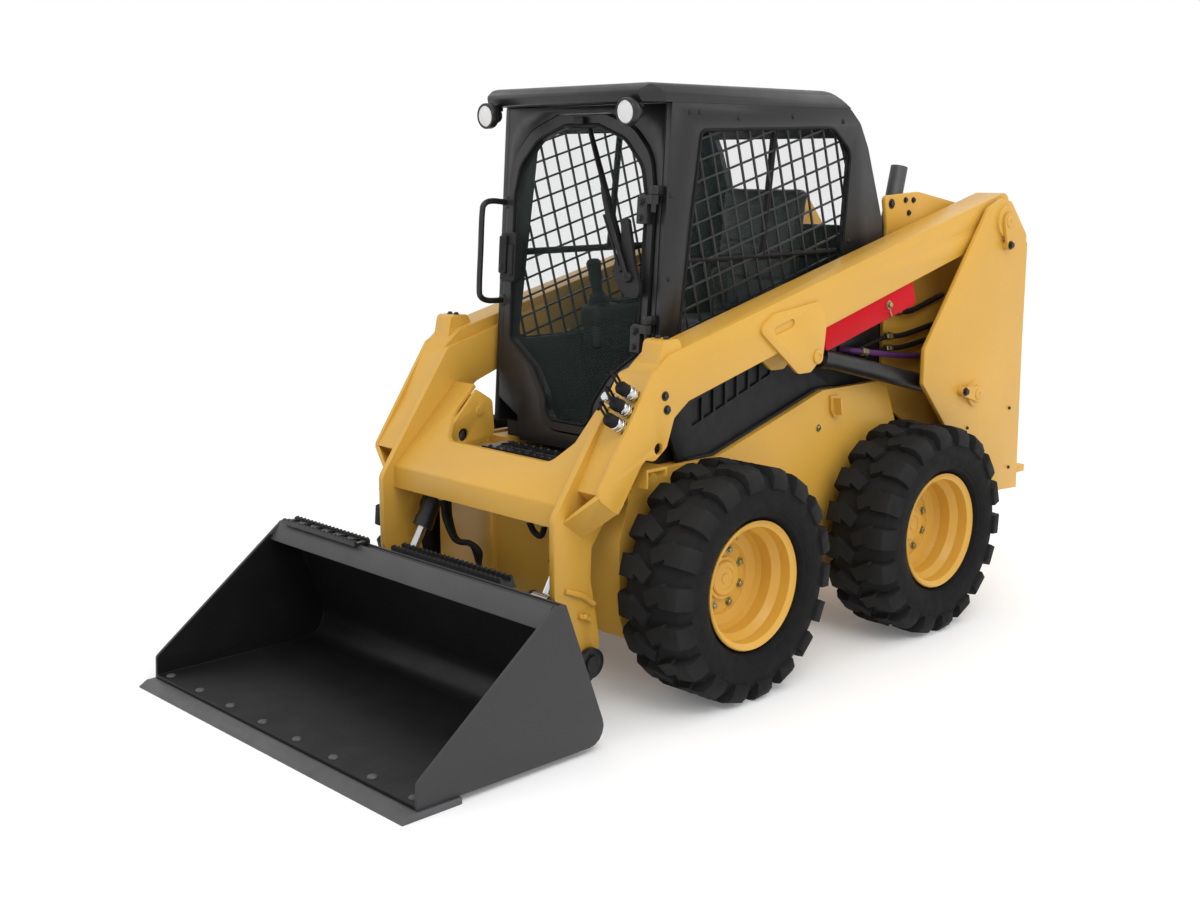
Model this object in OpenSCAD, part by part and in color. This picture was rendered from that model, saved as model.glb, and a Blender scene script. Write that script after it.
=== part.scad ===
// Skid steer loader: frame, cab, radial lift arms, bucket and four lugged tyres.
// Millimetres. Front is -Y, machine left is +X, ground is z = 0.

/* [Wheels] */
// Distance between front and rear axle centres
wheelbase = 1105; // [1050:5:1160]
// Tyre diameter over the lugs
tyre_d = 816; // [780:2:840]
// Tyre section width
tyre_w = 305; // [290:1:315]
// Width over the outer tyre walls
width_over_tyres = 1676; // [1660:2:1720]
// Diameter of the rim flange
rim_d = 448; // [440:1:460]
// Rim width over the flanges
rim_w = 248; // [235:1:255]
// Tread lugs on each side of a tyre
lug_count = 18; // [14:1:20]
// Height of the tread lugs
lug_h = 25; // [15:1:30]
// Width of a tread lug at the shoulder
lug_w = 74; // [50:1:80]
// Slant of the tread lugs in degrees
lug_slant = 27; // [15:1:35]
// Axle shaft diameter
shaft_d = 90; // [70:1:110]
// Running gap round pins and shafts
fit_gap = 0.3; // [0.2:0.05:0.5]

/* [Frame] */
// Width of the lower frame over its sides
frame_w = 980; // [950:2:990]
// Thickness of the outer frame walls
wall_t = 25; // [16:1:30]
// Width over the outer tower plates
tower_w = 1280; // [1272:1:1310]
// Thickness of the tower plates
tower_t = 20; // [12:1:22]
// Backward lean of the exhaust stack in degrees
stack_lean = 15; // [0:1:28]
// Depth of the rear bumper
bumper_d = 61; // [40:1:90]
// Thickness of the side cowls
cowl_t = 18; // [12:1:20]

/* [Cab] */
// Cab width
cab_w = 856; // [820:2:870]
// Thickness of the cab side panels
panel_t = 26; // [18:1:34]
// Thickness of the roof cap
roof_t = 64; // [50:1:80]
// Lean of the cab front in degrees
front_lean = 4; // [2:0.5:6]
// Gap round the cab door
door_gap = 8; // [6:0.5:12]
// Width of the cab door frame border
door_border = 36; // [30:1:60]
// Thickness of the cab door
door_t = 34; // [24:1:40]
// Thickness of glass panes
glass_t = 8; // [5:1:10]
// Width of the control consoles
console_w = 110; // [80:1:130]
// Gap between the seat and the consoles
seat_gap = 45; // [20:1:60]
// Pitch of the window guard bars
guard_pitch = 68; // [50:2:90]
// Thickness of the window guard bars
guard_t = 7; // [5:0.5:10]

/* [Lift arms] */
// Width over the outer arm plates
arm_span = 1214; // [1204:1:1220]
// Width of the arm box
arm_w = 127; // [120:1:130]
// Thickness of the outer arm plate
arm_plate_t = 15; // [10:1:18]
// Thickness of the front legs
leg_t = 25; // [18:1:27]
// Diameter of the rear arm pivot pin
pivot_d = 64; // [50:1:70]
// Outside diameter of the lift cylinder barrel
lift_barrel_d = 70; // [60:1:76]
// Diameter of the lift cylinder rod
lift_rod_d = 40; // [30:1:46]
// Diameter of the lift cylinder pins
lift_pin_d = 44; // [34:1:50]

/* [Bucket] */
// Width of the bucket over its side plates
bucket_w = 1528; // [1440:2:1600]
// Thickness of the bucket side plates
bucket_side_t = 14; // [10:1:20]
// Thickness of the bucket floor and back
bucket_floor_t = 14; // [10:1:20]
// Width of the cutting edge
edge_w = 1546; // [1530:2:1620]
// Outside diameter of the tilt cylinder barrel
tilt_barrel_d = 70; // [60:1:76]
// Diameter of the tilt cylinder rod
tilt_rod_d = 38; // [28:1:44]
// Diameter of the tilt cylinder pins
tilt_pin_d = 36; // [28:1:42]
// Diameter of the bucket hinge pins
hinge_d = 56; // [44:1:62]
// Thickness of the coupler face plate
coupler_t = 12; // [8:1:14]

/* [Hidden] */
$fn = 64;

tyre_r = tyre_d / 2;
axle_z = tyre_r;
wheel_x = width_over_tyres / 2 - tyre_w / 2;
arch_r = tyre_r + 32;
bead_r = rim_d / 2 - 15;
wall_h = tyre_r - rim_d / 2;
lug_top = sqrt(tyre_r * tyre_r - lug_w * lug_w / 4);
tyre_half = [[bead_r + fit_gap, tyre_w / 2 - 52], [rim_d / 2 + 3, tyre_w / 2 - 49],
  [rim_d / 2 + 0.1 * wall_h, tyre_w / 2 - 22], [rim_d / 2 + 0.25 * wall_h, tyre_w / 2 - 10],
  [rim_d / 2 + 0.42 * wall_h, tyre_w / 2 - 6], [rim_d / 2 + 0.6 * wall_h, tyre_w / 2 - 10],
  [tyre_r - lug_h - 0.07 * wall_h, tyre_w / 2 - 34], [tyre_r - lug_h, tyre_w / 2 - 66]];

// The outline points below are taken on the machine with a 408 mm axle height
// and a 1105 mm wheelbase, and move with the axles.
function h(z) = axle_z + z - 408;
function fp(y, z, r = 0) = [y + 552.5 - wheelbase / 2, h(z), r];
function rp(y, z, r = 0) = [y - 552.5 + wheelbase / 2, h(z), r];
function yz(p) = [p.x, p.y];

front_axle = -wheelbase / 2;
rear_axle = wheelbase / 2;
frame_x = frame_w / 2;
case_x = frame_x - 140;
tower_x = tower_w / 2;
tower_in_x = cab_w / 2 - 13;
cab_x = cab_w / 2;
cab_in_x = cab_x - panel_t;
arm_x = arm_span / 2;
beam_x = arm_x - arm_w;
leg_x = beam_x - leg_t;
case_top = h(775);
rear_top = h(640);

pivot = yz(rp(1176, 1572));
lift_base = yz(rp(1003, 880));
lift_eye = yz(fp(-12, 1129));
bucket_pin = yz(fp(-1022, 172));
tilt_base = yz(fp(-815, 900));
tilt_eye = yz(fp(-1120, 370));
lift_x = (arm_x + beam_x) / 2;
tilt_x = leg_x - 80;
eye_w = 78;
lip_y = fp(-2003, 0).x;
rear_y = rp(1379, 0).x + bumper_d;
shift_y = -(lip_y + rear_y) / 2;

heel = yz(fp(-1189, 22));
crest = yz(fp(-1372, 506));
back_dir = (crest - heel) / norm(crest - heel);
back_out = [back_dir.y, -back_dir.x];
function bk(n, t) = heel + n * back_out + t * back_dir;

lean_y = fp(-660, 0).x;
lean_z = h(830);
hood_hinge = yz(rp(800, 1462));
rear_hinge_x = -tower_in_x - 12;
rear_hinge_y = rp(1405, 0).x;
door_hinge_x = cab_in_x - 2;
console_x = cab_in_x - 12;
seat_x = console_x - console_w - seat_gap;
door_hinge_n = 32;

function unit(v) = v / norm(v);
function corner(p, a, b, r, n) =
  let (u = unit(a - p), w = unit(b - p), k = acos(u * w) / 2,
       c = p + unit(u + w) * r / sin(k), s = p + u * r / tan(k), e = p + w * r / tan(k),
       a0 = atan2(s.y - c.y, s.x - c.x), a1 = atan2(e.y - c.y, e.x - c.x),
       d = ((a1 - a0 + 540) % 360) - 180)
  r <= 0 ? [p] : [for (i = [0:n]) c + r * [cos(a0 + d * i / n), sin(a0 + d * i / n)]];
function rounded(q, n = 5) = [for (i = [0:len(q) - 1])
  let (m = len(q), p = q[i], a = q[(i + m - 1) % m], b = q[(i + 1) % m])
  each corner([p.x, p.y], [a.x, a.y], [b.x, b.y], len(p) > 2 ? p.z : 0, n)];
function flip(q) = [for (i = [len(q) - 1:-1:0]) [-q[i].x, q[i].y, len(q[i]) > 2 ? q[i].z : 0]];

steel_yellow = [0.9, 0.63, 0.1];
dark = [0.12, 0.12, 0.13];
glass = [0.35, 0.5, 0.5, 0.5];
chrome = [0.75, 0.76, 0.78];
rubber = [0.08, 0.08, 0.08];
red = [0.75, 0.12, 0.08];

module outline(q) polygon(rounded(q));
module side(x0, x1) translate([x0, 0, 0]) rotate([90, 0, 90]) linear_extrude(x1 - x0) children();
module face(y0, y1) translate([0, y1, 0]) rotate([90, 0, 0]) linear_extrude(y1 - y0) children();
module flat(z0, z1) translate([0, 0, z0]) linear_extrude(z1 - z0) children();
module bar(x0, x1, p, r) translate([x0, p.x, p.y]) rotate([0, 90, 0]) cylinder(r = r, h = x1 - x0);
module box(x0, x1, y0, y1, z0, z1) translate([x0, y0, z0]) cube([x1 - x0, y1 - y0, z1 - z0]);
module left_right() { children(); mirror([1, 0, 0]) children(); }
module aim(a, b) translate([0, a.x, a.y]) rotate([atan2(b.y - a.y, b.x - a.x), 0, 0])
  rotate([-90, 0, 0]) children();
module lean() translate([0, lean_y, lean_z]) rotate([-front_lean, 0, 0]) children();

// Frame
module chassis_tub() color(steel_yellow) difference() {
  union() {
    side(-frame_x, frame_x) outline([fp(-880, 300), fp(-850, 215), rp(760, 215), rp(1379, 430),
      rp(1379, 640), rp(740, 640), rp(600, 960), fp(200, 960), fp(-395, 784), fp(-690, 784),
      fp(-700, 745), fp(-785, 745), fp(-840, 680), fp(-880, 560)]);
    for (x = [-190, 150]) side(x, x + 40) polygon([yz(fp(-875, 330)), yz(fp(-900, 345)), yz(fp(-900, 560)),
      yz(fp(-852, 670)), yz(fp(-830, 660))]);
    left_right() difference() {
      union() {
        box(frame_x - 10, frame_x + 96, fp(-850, 0).x, fp(-752, 0).x, h(752), h(816));
        side(frame_x - 10, frame_x + 20) outline([fp(-840, 680), fp(-850, 816),
          fp(-752, 816), fp(-700, 760), fp(-700, 700)]);
      }
      bar(frame_x + 1, 900, [front_axle, axle_z], arch_r - 10);
      box(frame_x + 34, frame_x + 120, fp(-842, 0).x, fp(-760, 0).x, h(740), h(806));
    }
  }
  side(-case_x, case_x) outline([fp(-855, 300), fp(-830, 240), rp(755, 240), rp(1354, 450),
    rp(1354, 700), rp(1354, 1400), fp(-655, 1400), fp(-655, 720), fp(-775, 720), fp(-817, 668),
    fp(-855, 555)]);
  side(-frame_x + wall_t, frame_x - wall_t) outline([fp(-720, 745), fp(-655, 745), fp(-655, 775),
    rp(741, 775), rp(741, 1400), fp(-720, 1400)]);
}

module tower_left() {
  difference() {
    union() {
      side(tower_x - tower_t, tower_x) outline([rp(644, 951, 20), rp(645, 1089, 20),
        rp(1062, 1628, 40), rp(1156, 1664, 30), rp(1225, 1652, 40), rp(1355, 1511, 30),
        rp(1379, 429), rp(1180, 440), rp(808, 771)]);
      side(tower_in_x, tower_in_x + tower_t) outline([rp(655, 640), rp(655, 1560), rp(631, 1679, 20),
        rp(860, 1692, 40), rp(1156, 1640, 30), rp(1225, 1655, 40), rp(1355, 1511, 30), rp(1379, 1440),
        rp(1379, 640)]);
      box(tower_in_x, tower_x, rp(1347, 0).x, rp(1365, 0).x, rear_top, h(1480));
      box(tower_in_x, tower_x, rp(1030, 0).x, rp(1365, 0).x, rear_top, h(660));
      bar(tower_x - 1, tower_x + 14, pivot, 62);
      bar(tower_x - 1, tower_x + 14, lift_base, 52);
      bar(tower_in_x + 1, beam_x - 8, pivot, 60);
      bar(tower_in_x + 1, lift_x - eye_w / 2 - 2, lift_base, 46);
      bar(lift_x + eye_w / 2 + 2, tower_x - 1, lift_base, 46);
    }
    bar(0, 900, pivot, pivot_d / 2 + 0.1);
    bar(0, 900, lift_base, lift_pin_d / 2 + 0.1);
    translate([0, rear_axle, axle_z]) rotate([0, 90, 0]) cylinder(r = arch_r, h = 900);
  }
}
module towers() color(steel_yellow) left_right() tower_left();

module axle_housings() color(dark) left_right() for (y = [front_axle, rear_axle]) difference() {
  union() {
    bar(frame_x, frame_x + 16, [y, axle_z], 98);
    bar(frame_x + 10, wheel_x - 62, [y, axle_z], 76);
  }
  bar(frame_x - 1, wheel_x, [y, axle_z], shaft_d / 2 + fit_gap);
}

module engine_block() color(dark) {
  box(70 - case_x, case_x - 70, rp(720, 0).x, rp(1280, 0).x, h(440), h(1180));
  left_right() box(case_x - 110, case_x, rp(800, 0).x, rp(900, 0).x, h(600), h(680));
}

function band_z(y) = 902 + 0.343 * (y + 476);
module side_cowls() color(dark) left_right() difference() {
  union() {
    side(cab_x, cab_x + cowl_t) outline([fp(-545, 775), fp(-590, 870, 20), fp(-590, 985, 20),
      fp(-300, 1120, 20), fp(120, 1120, 20), fp(297, 985, 20), fp(297, 775)]);
    side(cab_x, frame_x - wall_t) outline([fp(-540, 775), fp(-520, 794), fp(-397, 794), fp(190, 966),
      fp(290, 966), fp(290, 775)]);
  }
  for (i = [0:7]) let (y = -458 + i * 62) side(cab_x + cowl_t - 10, cab_x + cowl_t + 20)
    polygon([yz(fp(y - 25, band_z(y - 25))), yz(fp(y + 25, band_z(y + 25))),
      yz(fp(y + 25, min(band_z(y + 25) + 84, 1108))), yz(fp(y - 25, min(band_z(y - 25) + 84, 1108)))]);
}

module engine_deck() color(dark) difference() {
  union() {
    box(-tower_in_x, tower_in_x, rp(662, 0).x, rp(772, 0).x, h(1430), h(1480));
    left_right() box(tower_in_x - 30, tower_in_x, hood_hinge.x - 26, hood_hinge.x + 12,
      h(1440), hood_hinge.y + 11);
    left_right() box(tower_in_x - 30, tower_in_x, rp(772, 0).x - 5, hood_hinge.x - 20, h(1430),
      hood_hinge.y + 11);
  }
  bar(-500, 500, hood_hinge, 10.1);
}

module exhaust_stack() color([0.45, 0.45, 0.46]) translate([tower_in_x - 43, rp(726, 0).x, h(1480)])
  difference() {
  union() {
    cylinder(r = 40, h = 12);
    intersection() {
      rotate([-stack_lean, 0, 0]) translate([0, 0, -40]) cylinder(r = 34, h = 362);
      translate([-100, -100, 4]) cube([200, 500, 500]);
    }
  }
  rotate([-stack_lean, 0, 0]) translate([0, 0, 90]) cylinder(r = 29, h = 400);
}

module rear_bumper() color(steel_yellow) difference() {
  union() {
    box(-tower_x + 2, tower_x - 2, rp(1379, 0).x, rear_y, h(492), h(522));
    left_right() box(frame_x - 150, frame_x - 125, rp(1379, 0).x, rear_y, h(520), h(590));
  }
  left_right() bar(frame_x - 200, frame_x - 80, [rp(1379, 0).x + bumper_d / 2, h(550)], 18);
}

module hinge_pins() color(dark) left_right() {
  bar(tower_in_x - 4, tower_x + 24, pivot, pivot_d / 2);
  bar(tower_in_x - 4, tower_x + 24, lift_base, lift_pin_d / 2);
}

module lamps() {
  color([0.85, 0.85, 0.8]) left_right() {
    translate([cab_x - 66, fp(-700, 0).x, h(1973)]) rotate([-90, 0, 0]) cylinder(r = 33, h = 44);
    box(cab_x - 80, cab_x - 52, fp(-682, 0).x, fp(-658, 0).x, h(1976), h(2008));
  }
  color(red) left_right() box(tower_in_x + 40, tower_x - 60, rp(1365, 0).x, rp(1392, 0).x, h(1290), h(1400));
}

module entry_step() color(dark) difference() {
  box(98 - cab_x, cab_x - 98, fp(-800, 0).x, fp(-668, 0).x, h(745), h(768));
  for (i = [-4:4]) translate([i * 66, fp(-734, 0).x, h(740)]) cylinder(r = 20, h = 60);
}

// Cab
side_q = [fp(-657, 835), fp(-577, 2008), fp(405, 2008, 20), fp(470, 1955, 60), fp(524, 1862, 120),
  fp(632, 1576, 30), fp(632, 835)];
window_q = [fp(-430, 1918, 30), fp(300, 1937, 90), fp(410, 1850, 60), fp(385, 1560, 40),
  fp(360, 1140, 40), fp(-548, 1140, 40)];
module cab_sides() color(dark) left_right() difference() {
  side(cab_in_x, cab_x) outline(side_q);
  side(0, 600) outline(window_q);
}

module window_guards() color(dark) left_right() side(cab_in_x, cab_in_x + guard_t) intersection() {
  outline(window_q);
  translate([fp(-60, 0).x, h(1560)]) rotate(15) union() {
    for (i = [-9:9]) translate([-800, i * guard_pitch - guard_t / 2]) square([1600, guard_t]);
    for (i = [-11:11]) translate([i * guard_pitch - guard_t / 2, -700]) square([guard_t, 1400]);
  }
}

module cab_roof() color(dark) intersection() {
  side(-cab_x - 1, cab_x + 1) outline([fp(-688, 2008, 10), fp(-704, 2008 + roof_t * 0.55, 14),
    fp(-650, 2008 + roof_t, 40), fp(290, 2007 + roof_t, 120), fp(408, 2008, 0)]);
  face(fp(-720, 0).x, fp(500, 0).x) outline([[cab_x, h(2000)], [cab_x, h(2008 + roof_t), 46],
    [-cab_x, h(2008 + roof_t), 46], [-cab_x, h(2000)]]);
  flat(h(1990), h(2200)) outline([[44 - cab_x, fp(-712, 0).x, 30], [cab_x - 44, fp(-712, 0).x, 30],
    [cab_x, fp(-610, 0).x, 40], [cab_x, fp(420, 0).x], [-cab_x, fp(420, 0).x], [-cab_x, fp(-610, 0).x, 40]]);
}

door_q = [for (p = [[250, 14, 90], [244, 130, 60], [166, 236, 90], [30, 330, 60], [24, 860, 200],
  [50, 1005, 150], [140, 1096, 150], [282, 1146, 200]])
  [cab_in_x - p.x, p.y, min(p.z, (cab_in_x - p.x) * 0.6)]];
function door_half(d) = [for (p = door_q) [p.x + d, p.y + (p.y < 20 ? -d : p.y > 1000 ? d : 0),
  p.y > 100 && p.y < 300 ? p.z - d : max(12, p.z + 1.2 * d)]];
function door_ring(d) = concat(door_half(d), flip(door_half(d)));

module cab_front_frame() color(dark) lean() {
  difference() {
    face(0, 46) polygon([[cab_in_x, 100], [cab_in_x - 112, 40], [cab_in_x - 132, -50],
      [132 - cab_in_x, -50], [112 - cab_in_x, 40], [-cab_in_x, 100],
      [-cab_in_x, 1178], [cab_in_x, 1178]]);
    face(-50, 90) outline(door_ring(door_gap));
  }
  for (s = [404, 842]) {
    box(door_hinge_x - 13, door_hinge_x + 13, -door_hinge_n, 0, s + 32, s + 62);
    translate([door_hinge_x, -door_hinge_n, s + 32]) cylinder(r = 15, h = 30);
    translate([door_hinge_x, -door_hinge_n, s - 28]) cylinder(r = 9, h = 70);
  }
}

module door_frame() color(dark) lean() {
  difference() {
    union() {
      face(-10, door_t - 10) outline(door_ring(0));
      for (s = [404, 842]) {
        box(door_hinge_x - 70, door_hinge_x, -door_hinge_n - 8, -8, s, s + 30);
        translate([door_hinge_x, -door_hinge_n, s]) cylinder(r = 15, h = 30);
      }
    }
    face(-60, 60) outline(door_ring(-door_border));
    for (s = [404, 842]) translate([door_hinge_x, -door_hinge_n, s - 40])
      cylinder(r = 9 + fit_gap, h = 110);
  }
}

module door_glass() color(glass) lean() face(0, glass_t) outline(door_ring(-door_border - 0.4));

module door_fittings() color(dark) lean() {
  box(34 - cab_in_x, 86 - cab_in_x, -48, -10, 600, 720);
  box(-24, 24, -44, -10, 1108, 1140);
}

module cab_rear_panel() color(dark) difference() {
  side(-cab_in_x, cab_in_x) outline([fp(404, 2008), fp(468, 1953, 50), fp(522, 1860, 60), fp(632, 1574),
    fp(632, 835), fp(606, 835), fp(606, 1568), fp(497, 1850, 60), fp(447, 1935, 50), fp(372, 2008)]);
  box(82 - cab_in_x, cab_in_x - 82, fp(400, 0).x, fp(800, 0).x, h(1560), h(1900));
}

module rear_glass() color(glass) side(82 - cab_in_x, cab_in_x - 82) 
  outline([fp(610, 1560), fp(618, 1560), fp(487, 1900), fp(479, 1900)]);

module cab_floor() color(dark) difference() {
  box(-cab_in_x, cab_in_x, fp(-610, 0).x, fp(606, 0).x, case_top, h(835));
  box(-seat_x - 15, seat_x + 15, fp(-590, 0).x, fp(-170, 0).x, h(800), h(900));
}

module seat() color([0.16, 0.16, 0.17]) {
  box(45 - seat_x, seat_x - 45, fp(-60, 0).x, fp(360, 0).x, h(835), h(1110));
  side(-seat_x, seat_x)
    outline([fp(-120, 1095, 30), fp(-120, 1190, 40), fp(452, 1176, 20), fp(452, 1095, 20)]);
  side(13 - seat_x, seat_x - 13)
    outline([fp(312, 1130), fp(398, 1720, 36), fp(470, 1720, 30), fp(440, 1130)]);
}

module control_consoles() color(dark) left_right() {
  box(console_x - console_w, console_x, fp(-250, 0).x, fp(280, 0).x, h(835), h(1260));
  translate([console_x - 60, fp(-190, 0).x, h(1255)]) rotate([10, 0, 0]) cylinder(r = 20, h = 170);
}

module grab_rail() color(dark) lean() translate([-cab_in_x, 0, 0]) {
  translate([0, -115, 455]) cylinder(r = 12, h = 390);
  for (s = [467, 833]) translate([0, 0, s]) rotate([90, 0, 0]) cylinder(r = 12, h = 115);
}

// Rear covers
module hood_grille() color(dark) difference() {
  union() {
    box(-tower_in_x + 8, tower_in_x - 8, hood_hinge.x + 20, rp(1338, 0).x, h(1440), h(1480));
    for (s = [-1, 1]) let (c = s * (tower_in_x - 115)) {
      box(c - 30, c + 30, hood_hinge.x, hood_hinge.x + 30, hood_hinge.y - 15, hood_hinge.y + 15);
      bar(c - 30, c + 30, hood_hinge, 15);
    }
  }
  box(-tower_in_x + 30, tower_in_x - 30, hood_hinge.x + 40, rp(1316, 0).x, h(1400), h(1466));
  for (i = [0:8])
    box(115 - tower_in_x, tower_in_x - 115, rp(880 + i * 46, 0).x, rp(904 + i * 46, 0).x, h(1400), h(1500));
  bar(-500, 500, hood_hinge, 10 + fit_gap);
}

module hood_rod() bar(-tower_in_x, tower_in_x, hood_hinge, 10);

module rear_door() color(steel_yellow) difference() {
  union() {
    box(-tower_in_x + 4, tower_in_x - 4, rp(1386, 0).x, rp(1424, 0).x, h(610), h(1440));
    for (z = [760, 1260]) {
      box(rear_hinge_x, -tower_in_x + 30, rear_hinge_y - 12, rear_hinge_y + 12, h(z), h(z + 50));
      translate([rear_hinge_x, rear_hinge_y, h(z)]) cylinder(r = 14, h = 50);
    }
  }
  box(-tower_in_x + 40, tower_in_x - 40, rp(1380, 0).x, rp(1412, 0).x, h(640), h(1410));
  for (i = [0:9])
    box(115 - tower_in_x, tower_in_x - 115, rp(1400, 0).x, rp(1440, 0).x, h(860 + i * 46), h(882 + i * 46));
  for (z = [760, 1260]) translate([rear_hinge_x, rear_hinge_y, h(z - 40)])
    cylinder(r = 8 + fit_gap, h = 140);
}

module rear_hinges() for (z = [760, 1260]) {
  box(rear_hinge_x - 8, rear_hinge_x + 8, rp(1379, 0).x, rear_hinge_y + 8, h(z - 32), h(z - 2));
  translate([rear_hinge_x, rear_hinge_y, h(z - 20)]) cylinder(r = 8, h = 66);
}

// Lift arms
module arm_left(closed = false) {
  difference() {
    union() {
      side(beam_x, arm_x) outline([rp(1262, 1590, 60), rp(1250, 1694, 40), fp(-770, 1192, 30),
        fp(-850, 1130, 20), fp(-880, 1084), fp(-760, 1005), fp(-705, 1008), fp(-671, 1031),
        rp(1000, 1462), rp(1120, 1484, 30), rp(1225, 1500, 60)]);
      bar(beam_x, arm_x, pivot, 88);
      side(arm_x - arm_plate_t, arm_x) outline([fp(-820, 1150), fp(-842, 1143, 30), fp(-1098, 761, 30),
        fp(-1000, 690, 30), fp(-903, 837, 30), fp(-875, 856), fp(-836, 846, 30), fp(-778, 886, 30),
        fp(-743, 980, 30), fp(-705, 1008), fp(-671, 1031), fp(-600, 1150)]);
      side(leg_x, beam_x) outline([fp(-350, 1262), fp(-852, 1128, 30), fp(-1165, 681, 60),
        fp(-1165, 421, 60), fp(-1070, 160, 20), fp(-975, 160, 20), fp(-966, 246, 60), fp(-1005, 453, 60),
        fp(-1000, 561, 40), fp(-947, 629, 40), fp(-790, 850, 60), fp(-735, 985, 60), fp(-350, 1118)]);
      bar(leg_x, beam_x, bucket_pin, 54);
      side(beam_x, arm_x - arm_plate_t) outline([web_top, fp(-760, 1005), fp(-985, 690), web_low]);
      hull() {
        side(arm_x - arm_plate_t, arm_x) polygon([yz(fp(-1088, 762)), yz(fp(-1004, 698)),
          yz(fp(-998, 708)), yz(fp(-1082, 772))]);
        side(beam_x - 1, beam_x + 1) polygon([yz(fp(-1126, 664)), yz(fp(-1042, 600)),
          yz(fp(-1036, 610)), yz(fp(-1120, 674))]);
      }
      if (closed) side(beam_x, arm_x - arm_plate_t)
        outline([fp(-850, 1056), fp(-838, 1106), fp(-1088, 770), fp(-1030, 746)]);
      difference() {
        side(arm_x, arm_x + 12) outline(gusset_q);
        side(arm_x + 4, arm_x + 20) outline(slot_q);
      }
      side(beam_x, beam_x + 14) outline(gusset_q);
      bar(lift_x + eye_w / 2 + 2, arm_x + 12, lift_eye, 30);
      bar(beam_x, lift_x - eye_w / 2 - 2, lift_eye, 30);
      side(arm_x - 97, arm_x - 10)
        outline([fp(-810, 1150), fp(-790, 1240, 20), fp(-712, 1240, 20), fp(-690, 1190)]);
    }
    bar(0, 900, pivot, pivot_d / 2 + fit_gap);
    bar(0, 900, bucket_pin, hinge_d / 2 + fit_gap);
    bar(0, 900, yz(fp(-816, 886)), 20);
    for (x = [38, 76]) translate([arm_x - 111 + x, fp(-748, 0).x, h(1150)]) cylinder(r = 9, h = 200);
  }
}
web_top = yz(fp(-880, 1084));
web_low = yz(fp(-1062, 762));
gusset_q = [fp(-330, 1240, 20), fp(-250, 1290), fp(0, 1320), fp(45, 1240, 30), fp(30, 1120, 30),
  fp(-40, 1066, 30), fp(-110, 1066, 30)];
slot_q = [fp(-246, 1212, 14), fp(-136, 1240, 14), fp(-143, 1270, 14), fp(-253, 1242, 14)];
arm_front_low = fp(-671, 1031);
arm_rear_low = rp(1000, 1462);
function under_arm(y, d, r = 0) = [y, arm_front_low.y + (y - arm_front_low.x)
  * (arm_rear_low.y - arm_front_low.y) / (arm_rear_low.x - arm_front_low.x) + d, r];
module lift_arms() color(steel_yellow) {
  arm_left();
  mirror([1, 0, 0]) arm_left(closed = true);
}

module arm_crossmember() color(steel_yellow) {
  difference() {
    side(-leg_x, leg_x) outline([fp(-1115, 635), fp(-1112, 716, 20), fp(-820, 1000), fp(-809, 989),
      fp(-1003, 800), fp(-1040, 700), fp(-1064, 635)]);
    face(fp(-1060, 0).x, fp(-780, 0).x) outline([[-280, h(818), 60], [280, h(818), 60], [345, h(900), 60],
      [345, h(1100)], [-345, h(1100)], [-345, h(900), 60]]);
  }
  left_right() for (x = [tilt_x - eye_w / 2 - 16, tilt_x + eye_w / 2 + 2]) {
    difference() {
      side(x, x + 14) outline([fp(-985, 822), fp(-826, 982), fp(-752, 936, 30), fp(-744, 806, 30),
        fp(-790, 782, 20), fp(-960, 760, 20)]);
      bar(x - 1, x + 20, yz(fp(-892, 820)), 24);
    }
    bar(x, x + 14, tilt_base, 44);
  }
  left_right() bar(tilt_x - eye_w / 2 - 20, tilt_x + eye_w / 2 + 20, tilt_base, tilt_pin_d / 2);
}

module aux_couplers() color(chrome) for (c = [[90, 0.06], [90, 0.21], [90, 0.36], [36, 0.16]])
  let (p = web_top + c.y * (web_low - web_top), d = unit(web_low - web_top))
  translate([beam_x + c.x, p.x, p.y]) rotate([atan2(-d.y, -d.x), 0, 0]) {
    cylinder(r = 19, h = 46);
    translate([0, 0, 40]) cylinder(r = 14, h = 36);
  }

module arm_brace() color(red) difference() {
  side(lift_x - 51, lift_x + 57) outline([under_arm(43, -0.3), under_arm(600, -0.3), under_arm(632, -100, 20),
    under_arm(70, -94, 20)]);
  side(lift_x - 42, lift_x + 42) outline([under_arm(0, -150), under_arm(0, -12), under_arm(700, -12),
    under_arm(700, -150)]);
}

// Cylinders
lift_len = norm(lift_eye - lift_base);
tilt_len = norm(tilt_eye - tilt_base);
module lift_barrel() color(dark) translate([lift_x, 0, 0]) aim(lift_base, lift_eye) difference() {
  union() {
    translate([-eye_w / 2, 0, 0]) rotate([0, 90, 0]) cylinder(r = 46, h = eye_w);
    translate([0, 0, 20]) cylinder(r = lift_barrel_d / 2, h = 905);
    translate([0, 0, 880]) cylinder(r = lift_barrel_d / 2 + 4, h = 45);
  }
  translate([0, 0, 90]) cylinder(r = lift_rod_d / 2 + fit_gap, h = 1000);
  translate([-100, 0, 0]) rotate([0, 90, 0]) cylinder(r = lift_pin_d / 2 + fit_gap, h = 200);
}
module lift_rod() color(chrome) translate([lift_x, 0, 0]) aim(lift_base, lift_eye) difference() {
  union() {
    translate([0, 0, 110]) cylinder(r = lift_rod_d / 2, h = lift_len - 110);
    translate([-eye_w / 2, 0, lift_len]) rotate([0, 90, 0]) cylinder(r = 42, h = eye_w);
  }
  translate([-100, 0, lift_len]) rotate([0, 90, 0]) cylinder(r = lift_pin_d / 2, h = 200);
}
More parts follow.
